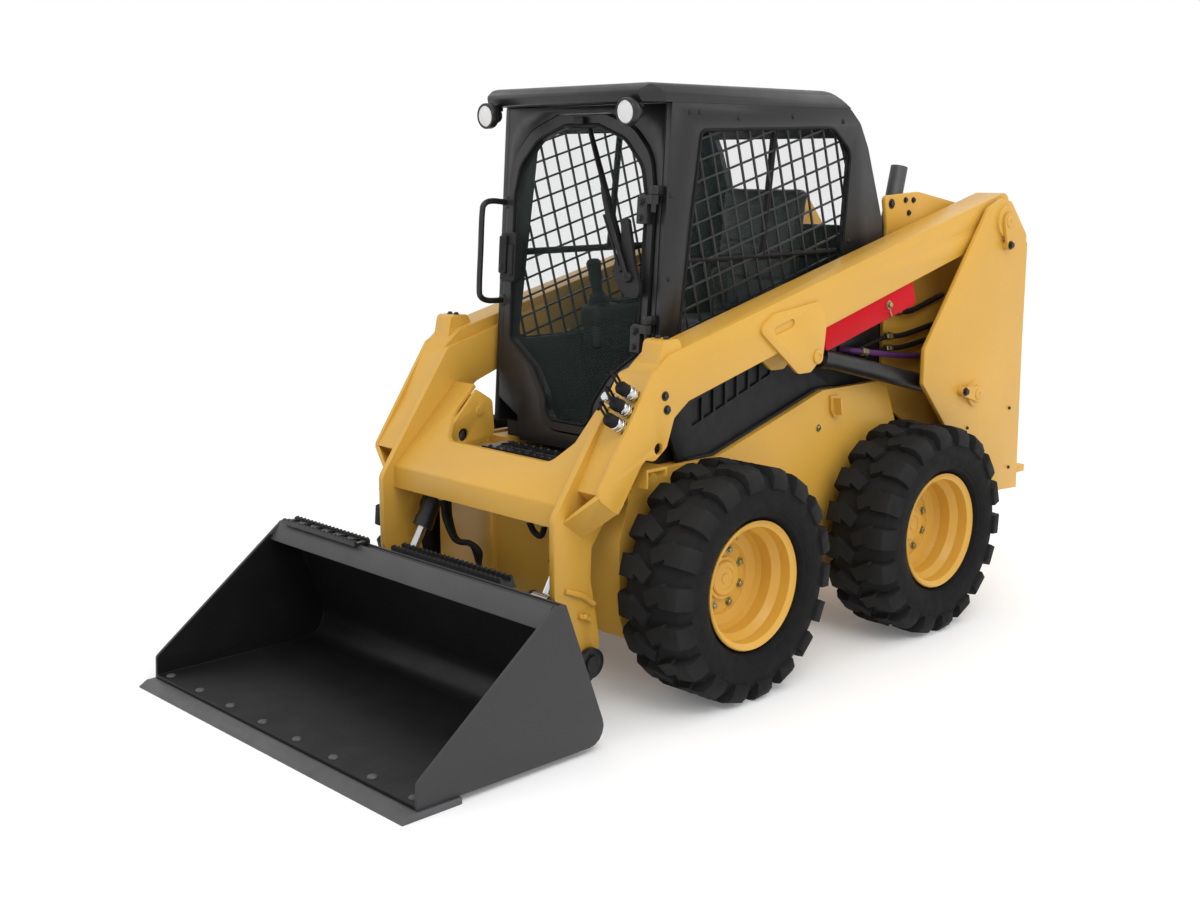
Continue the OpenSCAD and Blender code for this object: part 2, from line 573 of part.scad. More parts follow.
module tilt_barrel() color(dark) translate([tilt_x, 0, 0]) aim(tilt_base, tilt_eye) difference() {
  union() {
    translate([-eye_w / 2, 0, 0]) rotate([0, 90, 0]) cylinder(r = 40, h = eye_w);
    translate([0, 0, 20]) cylinder(r = tilt_barrel_d / 2, h = 455);
    translate([0, 0, 440]) cylinder(r = tilt_barrel_d / 2 + 3, h = 35);
  }
  translate([0, 0, 60]) cylinder(r = tilt_rod_d / 2 + fit_gap, h = 600);
  translate([-100, 0, 0]) rotate([0, 90, 0]) cylinder(r = tilt_pin_d / 2 + fit_gap, h = 200);
}
module tilt_rod() color(chrome) translate([tilt_x, 0, 0]) aim(tilt_base, tilt_eye) difference() {
  union() {
    translate([0, 0, 150]) cylinder(r = tilt_rod_d / 2, h = tilt_len - 150);
    translate([-eye_w / 2, 0, tilt_len]) rotate([0, 90, 0]) cylinder(r = 38, h = eye_w);
  }
  translate([-100, 0, tilt_len]) rotate([0, 90, 0]) cylinder(r = tilt_pin_d / 2, h = 200);
}

// Bucket
module coupler_plate() color(dark) difference() {
  union() {
    side(-leg_x - 90, leg_x + 90) polygon([bk(0, 30), bk(0, 440), bk(coupler_t, 440), bk(coupler_t, 30)]);
    left_right() {
      for (x = [leg_x - 27, beam_x + 7]) {
        side(x, x + 20) outline([bk(4, 20), bk(4, 190), bk(190, 134), bk(190, 30)]);
        bar(x, x + 20, bucket_pin, 52);
      }
      for (x = [tilt_x - eye_w / 2 - 17, tilt_x + eye_w / 2 + 2]) {
        side(x, x + 15) outline([bk(4, 220), bk(4, 400), bk(178, 338), bk(178, 264)]);
        bar(x, x + 15, tilt_eye, 38);
      }
    }
  }
  left_right() bar(300, 600, bucket_pin, hinge_d / 2 + 0.1);
}
module coupler_pins() color(dark) left_right() bar(leg_x - 30, beam_x + 34, bucket_pin, hinge_d / 2);

bucket_q = [fp(-1944, 22), fp(-1189, 22, 60), fp(-1372, 506), fp(-1415, 506), fp(-1940, 103, 20)];
module bucket_shell() color(dark) {
  difference() {
    side(-bucket_w / 2, bucket_w / 2) outline(bucket_q);
    side(-bucket_w / 2 + bucket_side_t, bucket_w / 2 - bucket_side_t) outline([fp(-2100, 22 + bucket_floor_t),
      fp(-1206, 22 + bucket_floor_t, 90), fp(-1424, 620), fp(-2100, 620)]);
  }
  side(-bucket_w / 2 + 4, bucket_w / 2 - 4) polygon([bk(-1, 516), yz(fp(-1432, 462)), yz(fp(-1420, 452)),
    bk(-1, 482)]);
}
module cutting_edge() color(dark) side(-edge_w / 2, edge_w / 2) polygon([yz(fp(-2003, 0)), yz(fp(-2003, 4)),
  yz(fp(-1972, 22)), yz(fp(-1944, 22)), yz(fp(-1790, 22)), yz(fp(-1790, 0))]);

function teeth(x0, x1, z, n) = concat([[x1, z - 6], [x0, z - 6]], [for (i = [0:2 * n])
  [x0 + (x1 - x0) * i / (2 * n), z + (i % 2 == 0 ? 6 : 14)]]);
module bucket_steps() color(dark) {
  difference() {
    union() {
      box(-713, -249, fp(-1438, 0).x, fp(-1372, 0).x, h(506.05), h(516));
      for (y = [-1438, -1383]) face(fp(y, 0).x, fp(y + 11, 0).x) polygon(teeth(-713, -249, h(513), 20));
    }
    for (i = [0:5]) translate([-674 + i * 77, fp(-1405, 0).x, h(480)]) cylinder(r = 20, h = 80);
  }
  side(-133, 450) polygon([bk(0.05, 490), bk(0.05, 516), bk(0.05, 516) + [60, 0], bk(0.05, 490) + [60, 0]]);
  for (d = [4, 48])
    face(bk(0, 516).x + d, bk(0, 516).x + d + 10) polygon(teeth(-133, 450, bk(0, 516).y + 5, 24));
}

// Wheels
module wheel_at(s, y) translate([0, y, axle_z]) scale([s, 1, 1]) children();
module lug(a, s) rotate(a) {
  rotate([90, 0, 0]) linear_extrude(lug_w, center = true)
    polygon([for (q = [[tyre_r - lug_h - 30, tyre_w * 0.2], [lug_top, tyre_w * 0.2],
      [lug_top, tyre_w / 2 - 48], [lug_top - 7, tyre_w / 2 - 22], [lug_top - 32, tyre_w / 2 - 4],
      [lug_top - 0.38 * wall_h, tyre_w / 2],
      [lug_top - 0.46 * wall_h, tyre_w / 2 - 30]]) [q.x, s * q.y]]);
  translate([0, 0, s * tyre_w * 0.14]) rotate([s * lug_slant, 0, 0])
    translate([tyre_r - lug_h - 30, -lug_w * 0.35, -tyre_w * 0.16])
      cube([lug_h + 28, lug_w * 0.7, tyre_w * 0.32]);
}
module tyre() color(rubber) translate([wheel_x, 0, 0]) rotate([0, 90, 0]) {
  rotate_extrude($fn = 96) polygon(concat(tyre_half, [for (i = [len(tyre_half) - 1:-1:0])
    [tyre_half[i].x, -tyre_half[i].y]]));
  rotate(asin(lug_w / tyre_d)) for (i = [0:lug_count - 1], s = [-1, 1])
    lug(360 / lug_count * (i + (s > 0 ? 0 : 0.5)), s);
}
module rim() color(steel_yellow) translate([wheel_x, 0, 0]) rotate([0, 90, 0]) {
  rotate_extrude($fn = 96) polygon([[0, -30], [132, -30], [168, -20], [178, 0], [180, rim_w / 2 - 80],
    [bead_r - 10, rim_w / 2 - 54], [bead_r - 8, rim_w / 2 - 14], [bead_r + 4, rim_w / 2 - 7],
    [rim_d / 2 - 4, rim_w / 2], [rim_d / 2, rim_w / 2 - 4], [rim_d / 2 - 1, rim_w / 2 - 12],
    [bead_r + 2, rim_w / 2 - 17], [bead_r, rim_w / 2 - 24], [bead_r, rim_w / 2 - 60],
    [190, rim_w / 2 - 84], [190, -rim_w / 2 + 84], [bead_r, -rim_w / 2 + 60], [bead_r, -rim_w / 2 + 24],
    [bead_r + 2, -rim_w / 2 + 17], [rim_d / 2 - 1, -rim_w / 2 + 12], [rim_d / 2, -rim_w / 2 + 4],
    [rim_d / 2 - 4, -rim_w / 2], [bead_r + 4, -rim_w / 2 + 7], [bead_r - 8, -rim_w / 2 + 14],
    [bead_r - 10, -rim_w / 2 + 54], [180, -rim_w / 2 + 74], [0, -rim_w / 2 + 74]]);
  translate([0, 0, -31]) cylinder(r = 74, h = 15);
  translate([0, 0, -(wheel_x - frame_x) + 6]) cylinder(r = shaft_d / 2, h = wheel_x - frame_x - 6 - 30);
}

module all_at() translate([0, shift_y, 0]) children();

all_at() chassis_tub();
all_at() towers();
all_at() axle_housings();
all_at() engine_block();
all_at() side_cowls();
all_at() engine_deck();
all_at() exhaust_stack();
all_at() rear_bumper();
all_at() {
  hinge_pins();
  color(dark) hood_rod();
  color(dark) rear_hinges();
}
all_at() lamps();
all_at() entry_step();
all_at() cab_sides();
all_at() cab_roof();
all_at() cab_front_frame();
all_at() cab_rear_panel();
all_at() cab_floor();
all_at() window_guards();
all_at() rear_glass();
all_at() seat();
all_at() control_consoles();
all_at() grab_rail();
all_at() hood_grille();
all_at() rear_door();
all_at() door_frame();
all_at() door_glass();
all_at() door_fittings();
all_at() lift_arms();
all_at() arm_crossmember();
all_at() aux_couplers();
all_at() arm_brace();
all_at() lift_barrel();  // lift_barrel_left
all_at() mirror([1, 0, 0]) lift_barrel();  // lift_barrel_right
all_at() lift_rod();  // lift_rod_left
all_at() mirror([1, 0, 0]) lift_rod();  // lift_rod_right
all_at() tilt_barrel();  // tilt_barrel_left
all_at() mirror([1, 0, 0]) tilt_barrel();  // tilt_barrel_right
all_at() tilt_rod();  // tilt_rod_left
all_at() mirror([1, 0, 0]) tilt_rod();  // tilt_rod_right
all_at() coupler_plate();
all_at() coupler_pins();
all_at() bucket_shell();
all_at() cutting_edge();
all_at() bucket_steps();
all_at() wheel_at(1, front_axle) tyre();  // tyre_front_left
all_at() wheel_at(-1, front_axle) tyre();  // tyre_front_right
all_at() wheel_at(1, rear_axle) tyre();  // tyre_rear_left
all_at() wheel_at(-1, rear_axle) tyre();  // tyre_rear_right
all_at() wheel_at(1, front_axle) rim();  // rim_front_left
all_at() wheel_at(-1, front_axle) rim();  // rim_front_right
all_at() wheel_at(1, rear_axle) rim();  // rim_rear_left
all_at() wheel_at(-1, rear_axle) rim();  // rim_rear_right
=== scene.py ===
"""Skid steer loader: finish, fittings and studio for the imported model."""
import math
import bpy
import bmesh
from mathutils import Matrix, Vector


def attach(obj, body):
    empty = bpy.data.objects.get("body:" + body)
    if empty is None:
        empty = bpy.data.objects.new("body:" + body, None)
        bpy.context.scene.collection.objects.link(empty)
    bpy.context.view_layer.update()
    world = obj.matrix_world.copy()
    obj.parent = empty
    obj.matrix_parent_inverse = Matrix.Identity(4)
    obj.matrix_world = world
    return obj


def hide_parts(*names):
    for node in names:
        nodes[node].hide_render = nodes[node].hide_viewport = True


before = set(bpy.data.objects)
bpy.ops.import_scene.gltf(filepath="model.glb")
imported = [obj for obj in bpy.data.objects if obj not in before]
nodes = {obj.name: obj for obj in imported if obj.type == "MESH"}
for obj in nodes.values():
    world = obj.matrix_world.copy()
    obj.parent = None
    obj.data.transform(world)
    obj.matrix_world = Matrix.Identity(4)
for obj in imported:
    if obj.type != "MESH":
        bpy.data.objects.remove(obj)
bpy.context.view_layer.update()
scene = bpy.context.scene

MM = 0.001
SHIFT_Y = 0.2815            # machine datum (middle of the wheelbase) in the row frame
LEAN = math.radians(4.0)    # cab front

# Machine millimetres: foot of the cab front, axles, outer faces on each side
FRONT_FOOT_Y = -660
FRONT_FOOT_Z = 830
AXLE_Y = {"front": -552.5, "rear": 552.5}
AXLE_Z = 408
RIM_FACE = 655.3
HUB_FACE = 669.3
TOWER_FACE = 640
ARM_FACE = 607
FRAME_FACE = 490
CAB_FACE = 428

X = Vector((1, 0, 0))
Y = Vector((0, 1, 0))
Z = Vector((0, 0, 1))
DOOR_OUT = Vector((0, -math.cos(LEAN), math.sin(LEAN)))
DOOR_UP = Vector((0, math.sin(LEAN), math.cos(LEAN)))
SIDES = {"left": 1, "right": -1}


def at(x, y, z):
    """A point in machine millimetres (y from the middle of the wheelbase) as row metres."""
    return Vector((x * MM, y * MM + SHIFT_Y, z * MM))


def door_at(x, n, s):
    """A point on the leaning cab front: x across, n out of the face (minus is forward), s up the face."""
    y = FRONT_FOOT_Y + n * math.cos(LEAN) + s * math.sin(LEAN)
    z = FRONT_FOOT_Z - n * math.sin(LEAN) + s * math.cos(LEAN)
    return at(x, y, z)


# Material nodes
def new_material(name):
    mat = bpy.data.materials.new(name)
    mat.use_nodes = True
    tree = mat.node_tree
    return mat, tree, tree.nodes["Principled BSDF"]


def link(tree, a, b):
    tree.links.new(a, b)


def object_place(tree):
    return tree.nodes.new("ShaderNodeTexCoord").outputs["Object"]


def calc(tree, operation, *values):
    """A Math node fed by sockets and numbers."""
    node = tree.nodes.new("ShaderNodeMath")
    node.operation = operation
    for socket, value in zip(node.inputs, values):
        if isinstance(value, bpy.types.NodeSocket):
            link(tree, value, socket)
        else:
            socket.default_value = value
    return node.outputs["Value"]


def noise(tree, scale, detail=4.0, rough=0.5):
    tex = tree.nodes.new("ShaderNodeTexNoise")
    tex.inputs["Scale"].default_value = scale
    tex.inputs["Detail"].default_value = detail
    tex.inputs["Roughness"].default_value = rough
    link(tree, object_place(tree), tex.inputs["Vector"])
    return tex.outputs["Fac"]


def ramp(tree, fac, stops):
    node = tree.nodes.new("ShaderNodeValToRGB")
    node.color_ramp.elements[0].position = stops[0][0]
    node.color_ramp.elements[0].color = stops[0][1]
    node.color_ramp.elements[1].position = stops[-1][0]
    node.color_ramp.elements[1].color = stops[-1][1]
    for pos, col in stops[1:-1]:
        node.color_ramp.elements.new(pos).color = col
    link(tree, fac, node.inputs["Fac"])
    return node.outputs["Color"]


def grey(v):
    return (v, v, v, 1.0)


def shade(colour, k):
    return (colour[0] * k, colour[1] * k, colour[2] * k, 1.0)


def drifting_colour(tree, shader, grain, colour, low, high, start=0.3):
    """Base colour that drifts between two shares of its own brightness."""
    stops = [(start, shade(colour, low)), (0.7, shade(colour, high))]
    link(tree, ramp(tree, grain, stops), shader.inputs["Base Color"])


def uneven_gloss(tree, shader, grain, low, high):
    """Roughness that drifts between two values."""
    link(tree, ramp(tree, grain, [(0.3, grey(low)), (0.7, grey(high))]), shader.inputs["Roughness"])


def bump(tree, shader, height, strength, distance, under=None):
    """Relief on the shader's normal, over the relief of another bump where one is given."""
    node = tree.nodes.new("ShaderNodeBump")
    node.inputs["Strength"].default_value = strength
    node.inputs["Distance"].default_value = distance
    link(tree, height, node.inputs["Height"])
    if under:
        link(tree, under.outputs["Normal"], node.inputs["Normal"])
    link(tree, node.outputs["Normal"], shader.inputs["Normal"])
    return node


# Materials
BUCKET_FLANK_X = 0.7515     # metres; outside these planes of the bucket the enamel keeps its own colour, inside them it is darkened as painted shade
BUCKET_LIP_Z = 0.4625
SIDEWALL_RINGS = (0.246, 0.262, 0.276, 0.318)   # radii of the moulded rings, metres


def painted(name, colour, rough, vary=0.05, coat=0.2, blotch=2.2, level=0.5):
    """Enamel: slow colour drift, uneven gloss and fine orange peel."""
    mat, tree, shader = new_material(name)
    drifting_colour(tree, shader, noise(tree, blotch, 5.0, 0.55), colour, 1 - vary, 1 + vary)
    uneven_gloss(tree, shader, noise(tree, 14.0, 6.0, 0.6), rough - 0.05, rough + 0.06)
    bump(tree, shader, noise(tree, 900.0, 2.0), 0.25, 0.00004)
    shader.inputs["Coat Weight"].default_value = coat
    shader.inputs["Coat Roughness"].default_value = 0.25
    shader.inputs["Specular IOR Level"].default_value = level
    return mat


def bucket_enamel(name, shaded_inner, outer, rough, level):
    """Black enamel on the flanks and the lip; inside the bucket the colour is darkened as painted shade."""
    mat, tree, shader = new_material(name)
    split = tree.nodes.new("ShaderNodeSeparateXYZ")
    link(tree, object_place(tree), split.inputs["Vector"])
    # inside both flank planes and below the lip the base colour is painted shade
    flank = calc(tree, "GREATER_THAN", calc(tree, "ABSOLUTE", split.outputs["X"]), BUCKET_FLANK_X)
    lip = calc(tree, "GREATER_THAN", split.outputs["Z"], BUCKET_LIP_Z)
    unshaded = calc(tree, "MAXIMUM", flank, lip)
    stops = [(0.2, shade(shaded_inner, 1.0)), (0.8, shade(outer, 1.0))]
    link(tree, ramp(tree, unshaded, stops), shader.inputs["Base Color"])
    uneven_gloss(tree, shader, noise(tree, 9.0, 6.0, 0.6), rough - 0.06, rough + 0.08)
    bump(tree, shader, noise(tree, 700.0, 2.0), 0.25, 0.00005)
    shader.inputs["Specular IOR Level"].default_value = level
    return mat


def moulded(name, colour, rough, grain=1400.0, depth=0.00012, level=0.4):
    """Grained plastic or rubber whose colour drifts lighter and darker at random."""
    mat, tree, shader = new_material(name)
    drifting_colour(tree, shader, noise(tree, 5.0, 6.0, 0.6), colour, 0.8, 1.3, start=0.35)
    uneven_gloss(tree, shader, noise(tree, 30.0, 5.0), rough - 0.06, rough + 0.08)
    bump(tree, shader, noise(tree, grain, 3.0), 0.5, depth)
    shader.inputs["Specular IOR Level"].default_value = level
    return mat


def metal(name, colour, rough, grain=220.0, depth=0.00003, metallic=1.0):
    """Plated, cast or worn metal with a fine grain."""
    mat, tree, shader = new_material(name)
    shader.inputs["Metallic"].default_value = metallic
    drifting_colour(tree, shader, noise(tree, 8.0, 6.0), colour, 0.85, 1.08)
    uneven_gloss(tree, shader, noise(tree, 40.0, 5.0), max(0.02, rough - 0.05), rough + 0.07)
    bump(tree, shader, noise(tree, grain, 4.0), 0.3, depth)
    return mat


def glazing(name, colour, rough, alpha):
    """Safety glass or a lens with a faint film."""
    mat, tree, shader = new_material(name)
    drifting_colour(tree, shader, noise(tree, 3.0, 4.0), colour, 0.92, 1.06)
    uneven_gloss(tree, shader, noise(tree, 24.0, 5.0), rough, rough + 0.03)
    shader.inputs["Alpha"].default_value = alpha
    shader.inputs["IOR"].default_value = 1.45
    return mat


def tyre_rubber(name, axle_y):
    """Rubber with moulded rings round the axle on the sidewall, its colour lighter towards the tread."""
    mat, tree, shader = new_material(name)
    place = tree.nodes.new("ShaderNodeMapping")
    place.inputs["Location"].default_value = (0.0, -(axle_y * MM + SHIFT_Y), -AXLE_Z * MM)
    place.inputs["Scale"].default_value = (0.0, 1.0, 1.0)
    link(tree, object_place(tree), place.inputs["Vector"])
    length = tree.nodes.new("ShaderNodeVectorMath")
    length.operation = "LENGTH"
    link(tree, place.outputs["Vector"], length.inputs[0])
    radius = length.outputs["Value"]
    stops = [(0.0, grey(0.0))]
    for r in SIDEWALL_RINGS:
        for step, height in ((-0.0016, 0.0), (-0.0006, 1.0), (0.0006, 1.0), (0.0016, 0.0)):
            stops.append((r + step, grey(height)))
    rings = ramp(tree, radius, stops + [(1.0, grey(0.0))])
    drift = calc(tree, "MULTIPLY_ADD", noise(tree, 9.0, 6.0, 0.6), 0.05, radius)
    # base colour grows lighter with the radius, towards the tread
    lighter_outwards = [(0.25, grey(0.006)), (0.35, grey(0.0085)), (0.41, grey(0.017)), (0.47, grey(0.02))]
    link(tree, ramp(tree, drift, lighter_outwards), shader.inputs["Base Color"])
    uneven_gloss(tree, shader, noise(tree, 30.0, 5.0), 0.66, 0.82)
    fine = bump(tree, shader, noise(tree, 700.0, 3.0), 0.4, 0.0002)
    bump(tree, shader, rings, 0.8, 0.002, under=fine)
    shader.inputs["Specular IOR Level"].default_value = 0.14
    return mat


M = {
    "yellow": painted("yellow_enamel", (0.62, 0.345, 0.05), 0.42, 0.04, 0.15, level=0.35),
    "black": painted("black_enamel", (0.011, 0.011, 0.012), 0.4, 0.25, 0.08, level=0.4),
    # bucket: the first colour is painted shade inside the bucket, the second the enamel on the flanks and the
    # lip
    "bucket": bucket_enamel("bucket_black", (0.006, 0.006, 0.0065), (0.042, 0.042, 0.044), 0.42, 0.24),
    "lip": painted("lip_enamel", (0.05, 0.05, 0.052), 0.42, 0.12, 0.0, blotch=3.0, level=0.3),
    "edge": metal("wear_steel", (0.085, 0.085, 0.088), 0.5, 120.0, 0.0001, 0.3),
    "plastic": moulded("moulded_black", (0.010, 0.010, 0.011), 0.5, level=0.3),
    "seal": moulded("seal_rubber", (0.006, 0.006, 0.006), 0.6, 900.0, 0.0001, 0.2),
    "front_rubber": tyre_rubber("tyre_rubber_front", AXLE_Y["front"]),
    "rear_rubber": tyre_rubber("tyre_rubber_rear", AXLE_Y["rear"]),
    "red": painted("red_enamel", (0.5, 0.006, 0.013), 0.45, 0.05, 0.0, level=0.08),
    "chrome": metal("hard_chrome", (0.55, 0.56, 0.57), 0.2),
    "zinc": metal("yellow_zinc", (0.36, 0.33, 0.17), 0.36, 300.0, 0.00005),
    "exhaust": metal("dull_exhaust", (0.10, 0.10, 0.104), 0.5, 160.0, 0.00008, 0.7),
    "iron": metal("dark_iron", (0.03, 0.03, 0.03), 0.6, 120.0, 0.0002, 0.5),
    "glass": glazing("tinted_glass", (0.08, 0.125, 0.115), 0.02, 0.06),
    "clear": glazing("lamp_lens", (0.96, 0.95, 0.94), 0.03, 0.55),
    "mirror": metal("lamp_reflector", (0.9, 0.9, 0.91), 0.22),
    "redlens": painted("red_lens", (0.4, 0.008, 0.008), 0.2, 0.1, 0.6),
    "vinyl": moulded("seat_vinyl", (0.02, 0.024, 0.024), 0.5, 420.0, 0.0003),
    "purple": moulded("purple_sleeve", (0.09, 0.02, 0.12), 0.5, 500.0, 0.0002),
}
NODE_FINISH = {
    "yellow": ["chassis_tub", "towers", "lift_arms", "arm_crossmember", "rear_door", "rear_bumper",
               "hinge_pins"],
    "black": ["axle_housings", "engine_deck", "entry_step", "cab_sides", "cab_front_frame",
              "cab_rear_panel", "window_guards", "grab_rail", "hood_grille", "door_frame", "cab_roof",
              "lift_barrel_left", "lift_barrel_right", "tilt_barrel_left", "tilt_barrel_right",
              "coupler_plate", "coupler_pins", "bucket_steps"],
    "bucket": ["bucket_shell"],
    "edge": ["cutting_edge"],
    "iron": ["engine_block"],
    "exhaust": ["exhaust_stack"],
    "plastic": ["side_cowls", "cab_floor", "control_consoles", "door_fittings"],
    "clear": ["lamps"],
    "glass": ["rear_glass", "door_glass"],
    "vinyl": ["seat"],
    "red": ["arm_brace"],
    "chrome": ["lift_rod_left", "lift_rod_right", "tilt_rod_left", "tilt_rod_right", "aux_couplers"],
}
for end in AXLE_Y:
    NODE_FINISH["yellow"] += [f"rim_{end}_{hand}" for hand in SIDES]
    NODE_FINISH[f"{end}_rubber"] = [f"tyre_{end}_{hand}" for hand in SIDES]
for key, names in NODE_FINISH.items():
    for name in names:
        nodes[name].data.materials.clear()
        nodes[name].data.materials.append(M[key])

# Softened edges on the CAD nodes, by the width of the edge in metres
EDGE_WIDTHS = {
    0.002: ["cutting_edge"],
    0.003: ["towers", "lift_arms", "arm_crossmember", "bucket_shell", "arm_brace", "hood_grille",
            "coupler_plate"],
    0.004: ["chassis_tub", "cab_sides", "cab_front_frame", "side_cowls", "rear_bumper"],
    0.005: ["rear_door"],
    0.006: ["cab_roof"],
}
EDGE_WIDTHS[0.003] += [f"tyre_{end}_{hand}" for end in AXLE_Y for hand in SIDES]


def soften(name, width):
    """Rolled edges: coplanar facets joined, then a small bevel that catches the light."""
    obj = nodes[name]
    weld = obj.modifiers.new("weld", "WELD")
    weld.merge_threshold = 0.00002
    flat = obj.modifiers.new("flat", "DECIMATE")
    flat.decimate_type = "DISSOLVE"
    flat.angle_limit = math.radians(0.6)
    edge = obj.modifiers.new("edge", "BEVEL")
    edge.width = width
    edge.segments = 2
    edge.limit_method = "ANGLE"
    edge.angle_limit = math.radians(32.0)
    edge.harden_normals = True
    for poly in obj.data.polygons:
        poly.use_smooth = True


for width, names in EDGE_WIDTHS.items():
    for name in names:
        soften(name, width)


# Mesh building
def axes(w):
    w = Vector(w).normalized()
    u = w.orthogonal().normalized()
    return u, w.cross(u), w


def ring(bm, centre, u, v, r, segs):
    turns = [2 * math.pi * i / segs for i in range(segs)]
    return [bm.verts.new(centre + r * (math.cos(t) * u + math.sin(t) * v)) for t in turns]


def bridge(bm, a, b):
    n = len(a)
    for i in range(n):
        bm.faces.new((a[i], a[(i + 1) % n], b[(i + 1) % n], b[i]))


def lathe(bm, base, axis, profile, segs=24):
    """Rings of (radius, height) in millimetres along an axis, closed at both ends."""
    u, v, w = axes(axis)
    rings = [ring(bm, base + w * h * MM, u, v, max(r, 0.2) * MM, segs) for r, h in profile]
    for a, b in zip(rings, rings[1:]):
        bridge(bm, a, b)
    bm.faces.new(list(reversed(rings[0])))
    bm.faces.new(rings[-1])


def bolt(bm, p, axis, r, h, washer=1.5):
    """Hexagon head with a chamfered top, on a washer that is wider than it by a factor."""
    rim = r * washer
    lathe(bm, p, axis, [(rim, 0), (rim, 2.4), (rim - 0.8, 3.2)], 20)
    head = [(r, 0), (r, h - 1.5), (r * 0.84, h), (r * 0.5, h), (r * 0.45, h - 0.8)]
    lathe(bm, p + Vector(axis).normalized() * 2.6 * MM, axis, head, 6)


def dome(bm, p, axis, r, h):
    """Round head."""
    crown = [(r, 0), (r * 0.98, h * 0.3), (r * 0.82, h * 0.68), (r * 0.5, h * 0.93), (r * 0.12, h)]
    lathe(bm, p, axis, crown, 20)


def smooth_path(pts, per=7):
    """A curve through the points, with a number of steps per span."""
    out = []
    q = [pts[0]] + list(pts) + [pts[-1]]
    for i in range(1, len(q) - 2):
        a, b, c, d = q[i - 1], q[i], q[i + 1], q[i + 2]
        for k in range(per):
            t = k / per
            out.append(0.5 * (2 * b + (c - a) * t + (2 * a - 5 * b + 4 * c - d) * t * t
                              + (3 * b - a - 3 * c + d) * t ** 3))
    return out + [pts[-1]]


def route(points, s=1):
    """A curve through points in machine millimetres, on the left side or mirrored to the right."""
    return smooth_path([at(s * x, y, z) for x, y, z in points])


def door_route(points):
    """A curve through points on the cab front."""
    return smooth_path([door_at(*p) for p in points])


def tube(bm, path, r, segs=12, closed=False):
    """Round bar of radius r millimetres through the points, with a carried frame so it doesn't twist."""
    n = len(path)
    rings, u = [], None
    for i, p in enumerate(path):
        a = path[(i - 1) % n] if closed else path[max(i - 1, 0)]
        b = path[(i + 1) % n] if closed else path[min(i + 1, n - 1)]
        t = (b - a).normalized()
        u = t.orthogonal().normalized() if u is None else (u - t * u.dot(t)).normalized()
        rings.append(ring(bm, p, u, t.cross(u), r * MM, segs))
    for a, b in zip(rings, rings[1:]):
        bridge(bm, a, b)
    if closed:
        first, last = rings[0], rings[-1]
        shift = min(range(segs), key=lambda k: (first[k].co - last[0].co).length)
        bridge(bm, last, first[shift:] + first[:shift])
    else:
        bm.faces.new(list(reversed(rings[0])))
        bm.faces.new(rings[-1])


def slab(bm, pts, push):
    """A flat outline of points pushed out by a vector."""
    a = [bm.verts.new(p) for p in pts]
    b = [bm.verts.new(p + push) for p in pts]
    bridge(bm, a, b)
    bm.faces.new(list(reversed(a)))
    bm.faces.new(b)


def block(bm, centre, half, across, up, round_mm, segs=3):
    """A box with rolled edges; half sizes in millimetres along across, up and their cross product."""
    across, up = Vector(across).normalized(), Vector(up).normalized()
    turn = Matrix((across, up, across.cross(up))).transposed().to_4x4()
    sizes = Matrix.Diagonal((half[0] * MM, half[1] * MM, half[2] * MM, 1.0))
    made = bmesh.ops.create_cube(bm, size=2.0, matrix=Matrix.Translation(centre) @ turn @ sizes)
    edges = list(dict.fromkeys(e for v in made["verts"] for e in v.link_edges))
    bmesh.ops.bevel(bm, geom=edges, offset=round_mm * MM, segments=segs, affect="EDGES", profile=0.6)


def corner(p, a, b, r, n=6):
    """Points of an arc of radius r that rounds the corner p between its neighbours a and b."""
    if r <= 0:
        return [p]
    u, w = (a - p).normalized(), (b - p).normalized()
    k = math.acos(max(-1.0, min(1.0, u.dot(w)))) / 2
    c = p + (u + w).normalized() * (r / math.sin(k))
    s, e = p + u * (r / math.tan(k)), p + w * (r / math.tan(k))
    a0, a1 = math.atan2(s.y - c.y, s.x - c.x), math.atan2(e.y - c.y, e.x - c.x)
    d = (a1 - a0 + 3 * math.pi) % (2 * math.pi) - math.pi
    return [c + r * Vector((math.cos(a0 + d * i / n), math.sin(a0 + d * i / n))) for i in range(n + 1)]


def rounded(outline):
    """An outline of (across, up, corner radius) as points."""
    pts = [Vector((p[0], p[1])) for p in outline]
    out = []
    for i, p in enumerate(outline):
        out += corner(pts[i], pts[i - 1], pts[(i + 1) % len(pts)], p[2])
    return out


def piece(name, bm, key, body, replaces=None, ride=True):
    """The built mesh as a named piece with its finish, on a body and in place of CAD nodes."""
    bmesh.ops.recalc_face_normals(bm, faces=bm.faces[:])
    mesh = bpy.data.meshes.new(name)
    bm.to_mesh(mesh)
    bm.free()
    for poly in mesh.polygons:
        poly.use_smooth = True
    mesh.set_sharp_from_angle(angle=math.radians(35.0))
    mesh.materials.append(M[key])
    obj = bpy.data.objects.new(name, mesh)
    scene.collection.objects.link(obj)
    if ride:
        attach(obj, body)
    if replaces:
        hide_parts(*replaces)
    return obj


# Wheels: bolts, hub cap and valve
BOLT_CIRCLE = 101
VALVE_CIRCLE = 166
VALVE_TURN = math.radians(80)
VALVE_ROOT = 640
HUB_CAP = [(62, 0), (62, 5), (57, 9), (38, 10), (36, 7), (20, 7), (18, 10), (2, 10.5)]
HUB_RING = [(128, 0), (128, 1.5), (122, 4), (119, 4), (117, 0.6)]


def round_axle(x, axle, r, turn):
    """A point at a radius and an angle round an axle."""
    return at(x, axle + r * math.cos(turn), AXLE_Z + r * math.sin(turn))


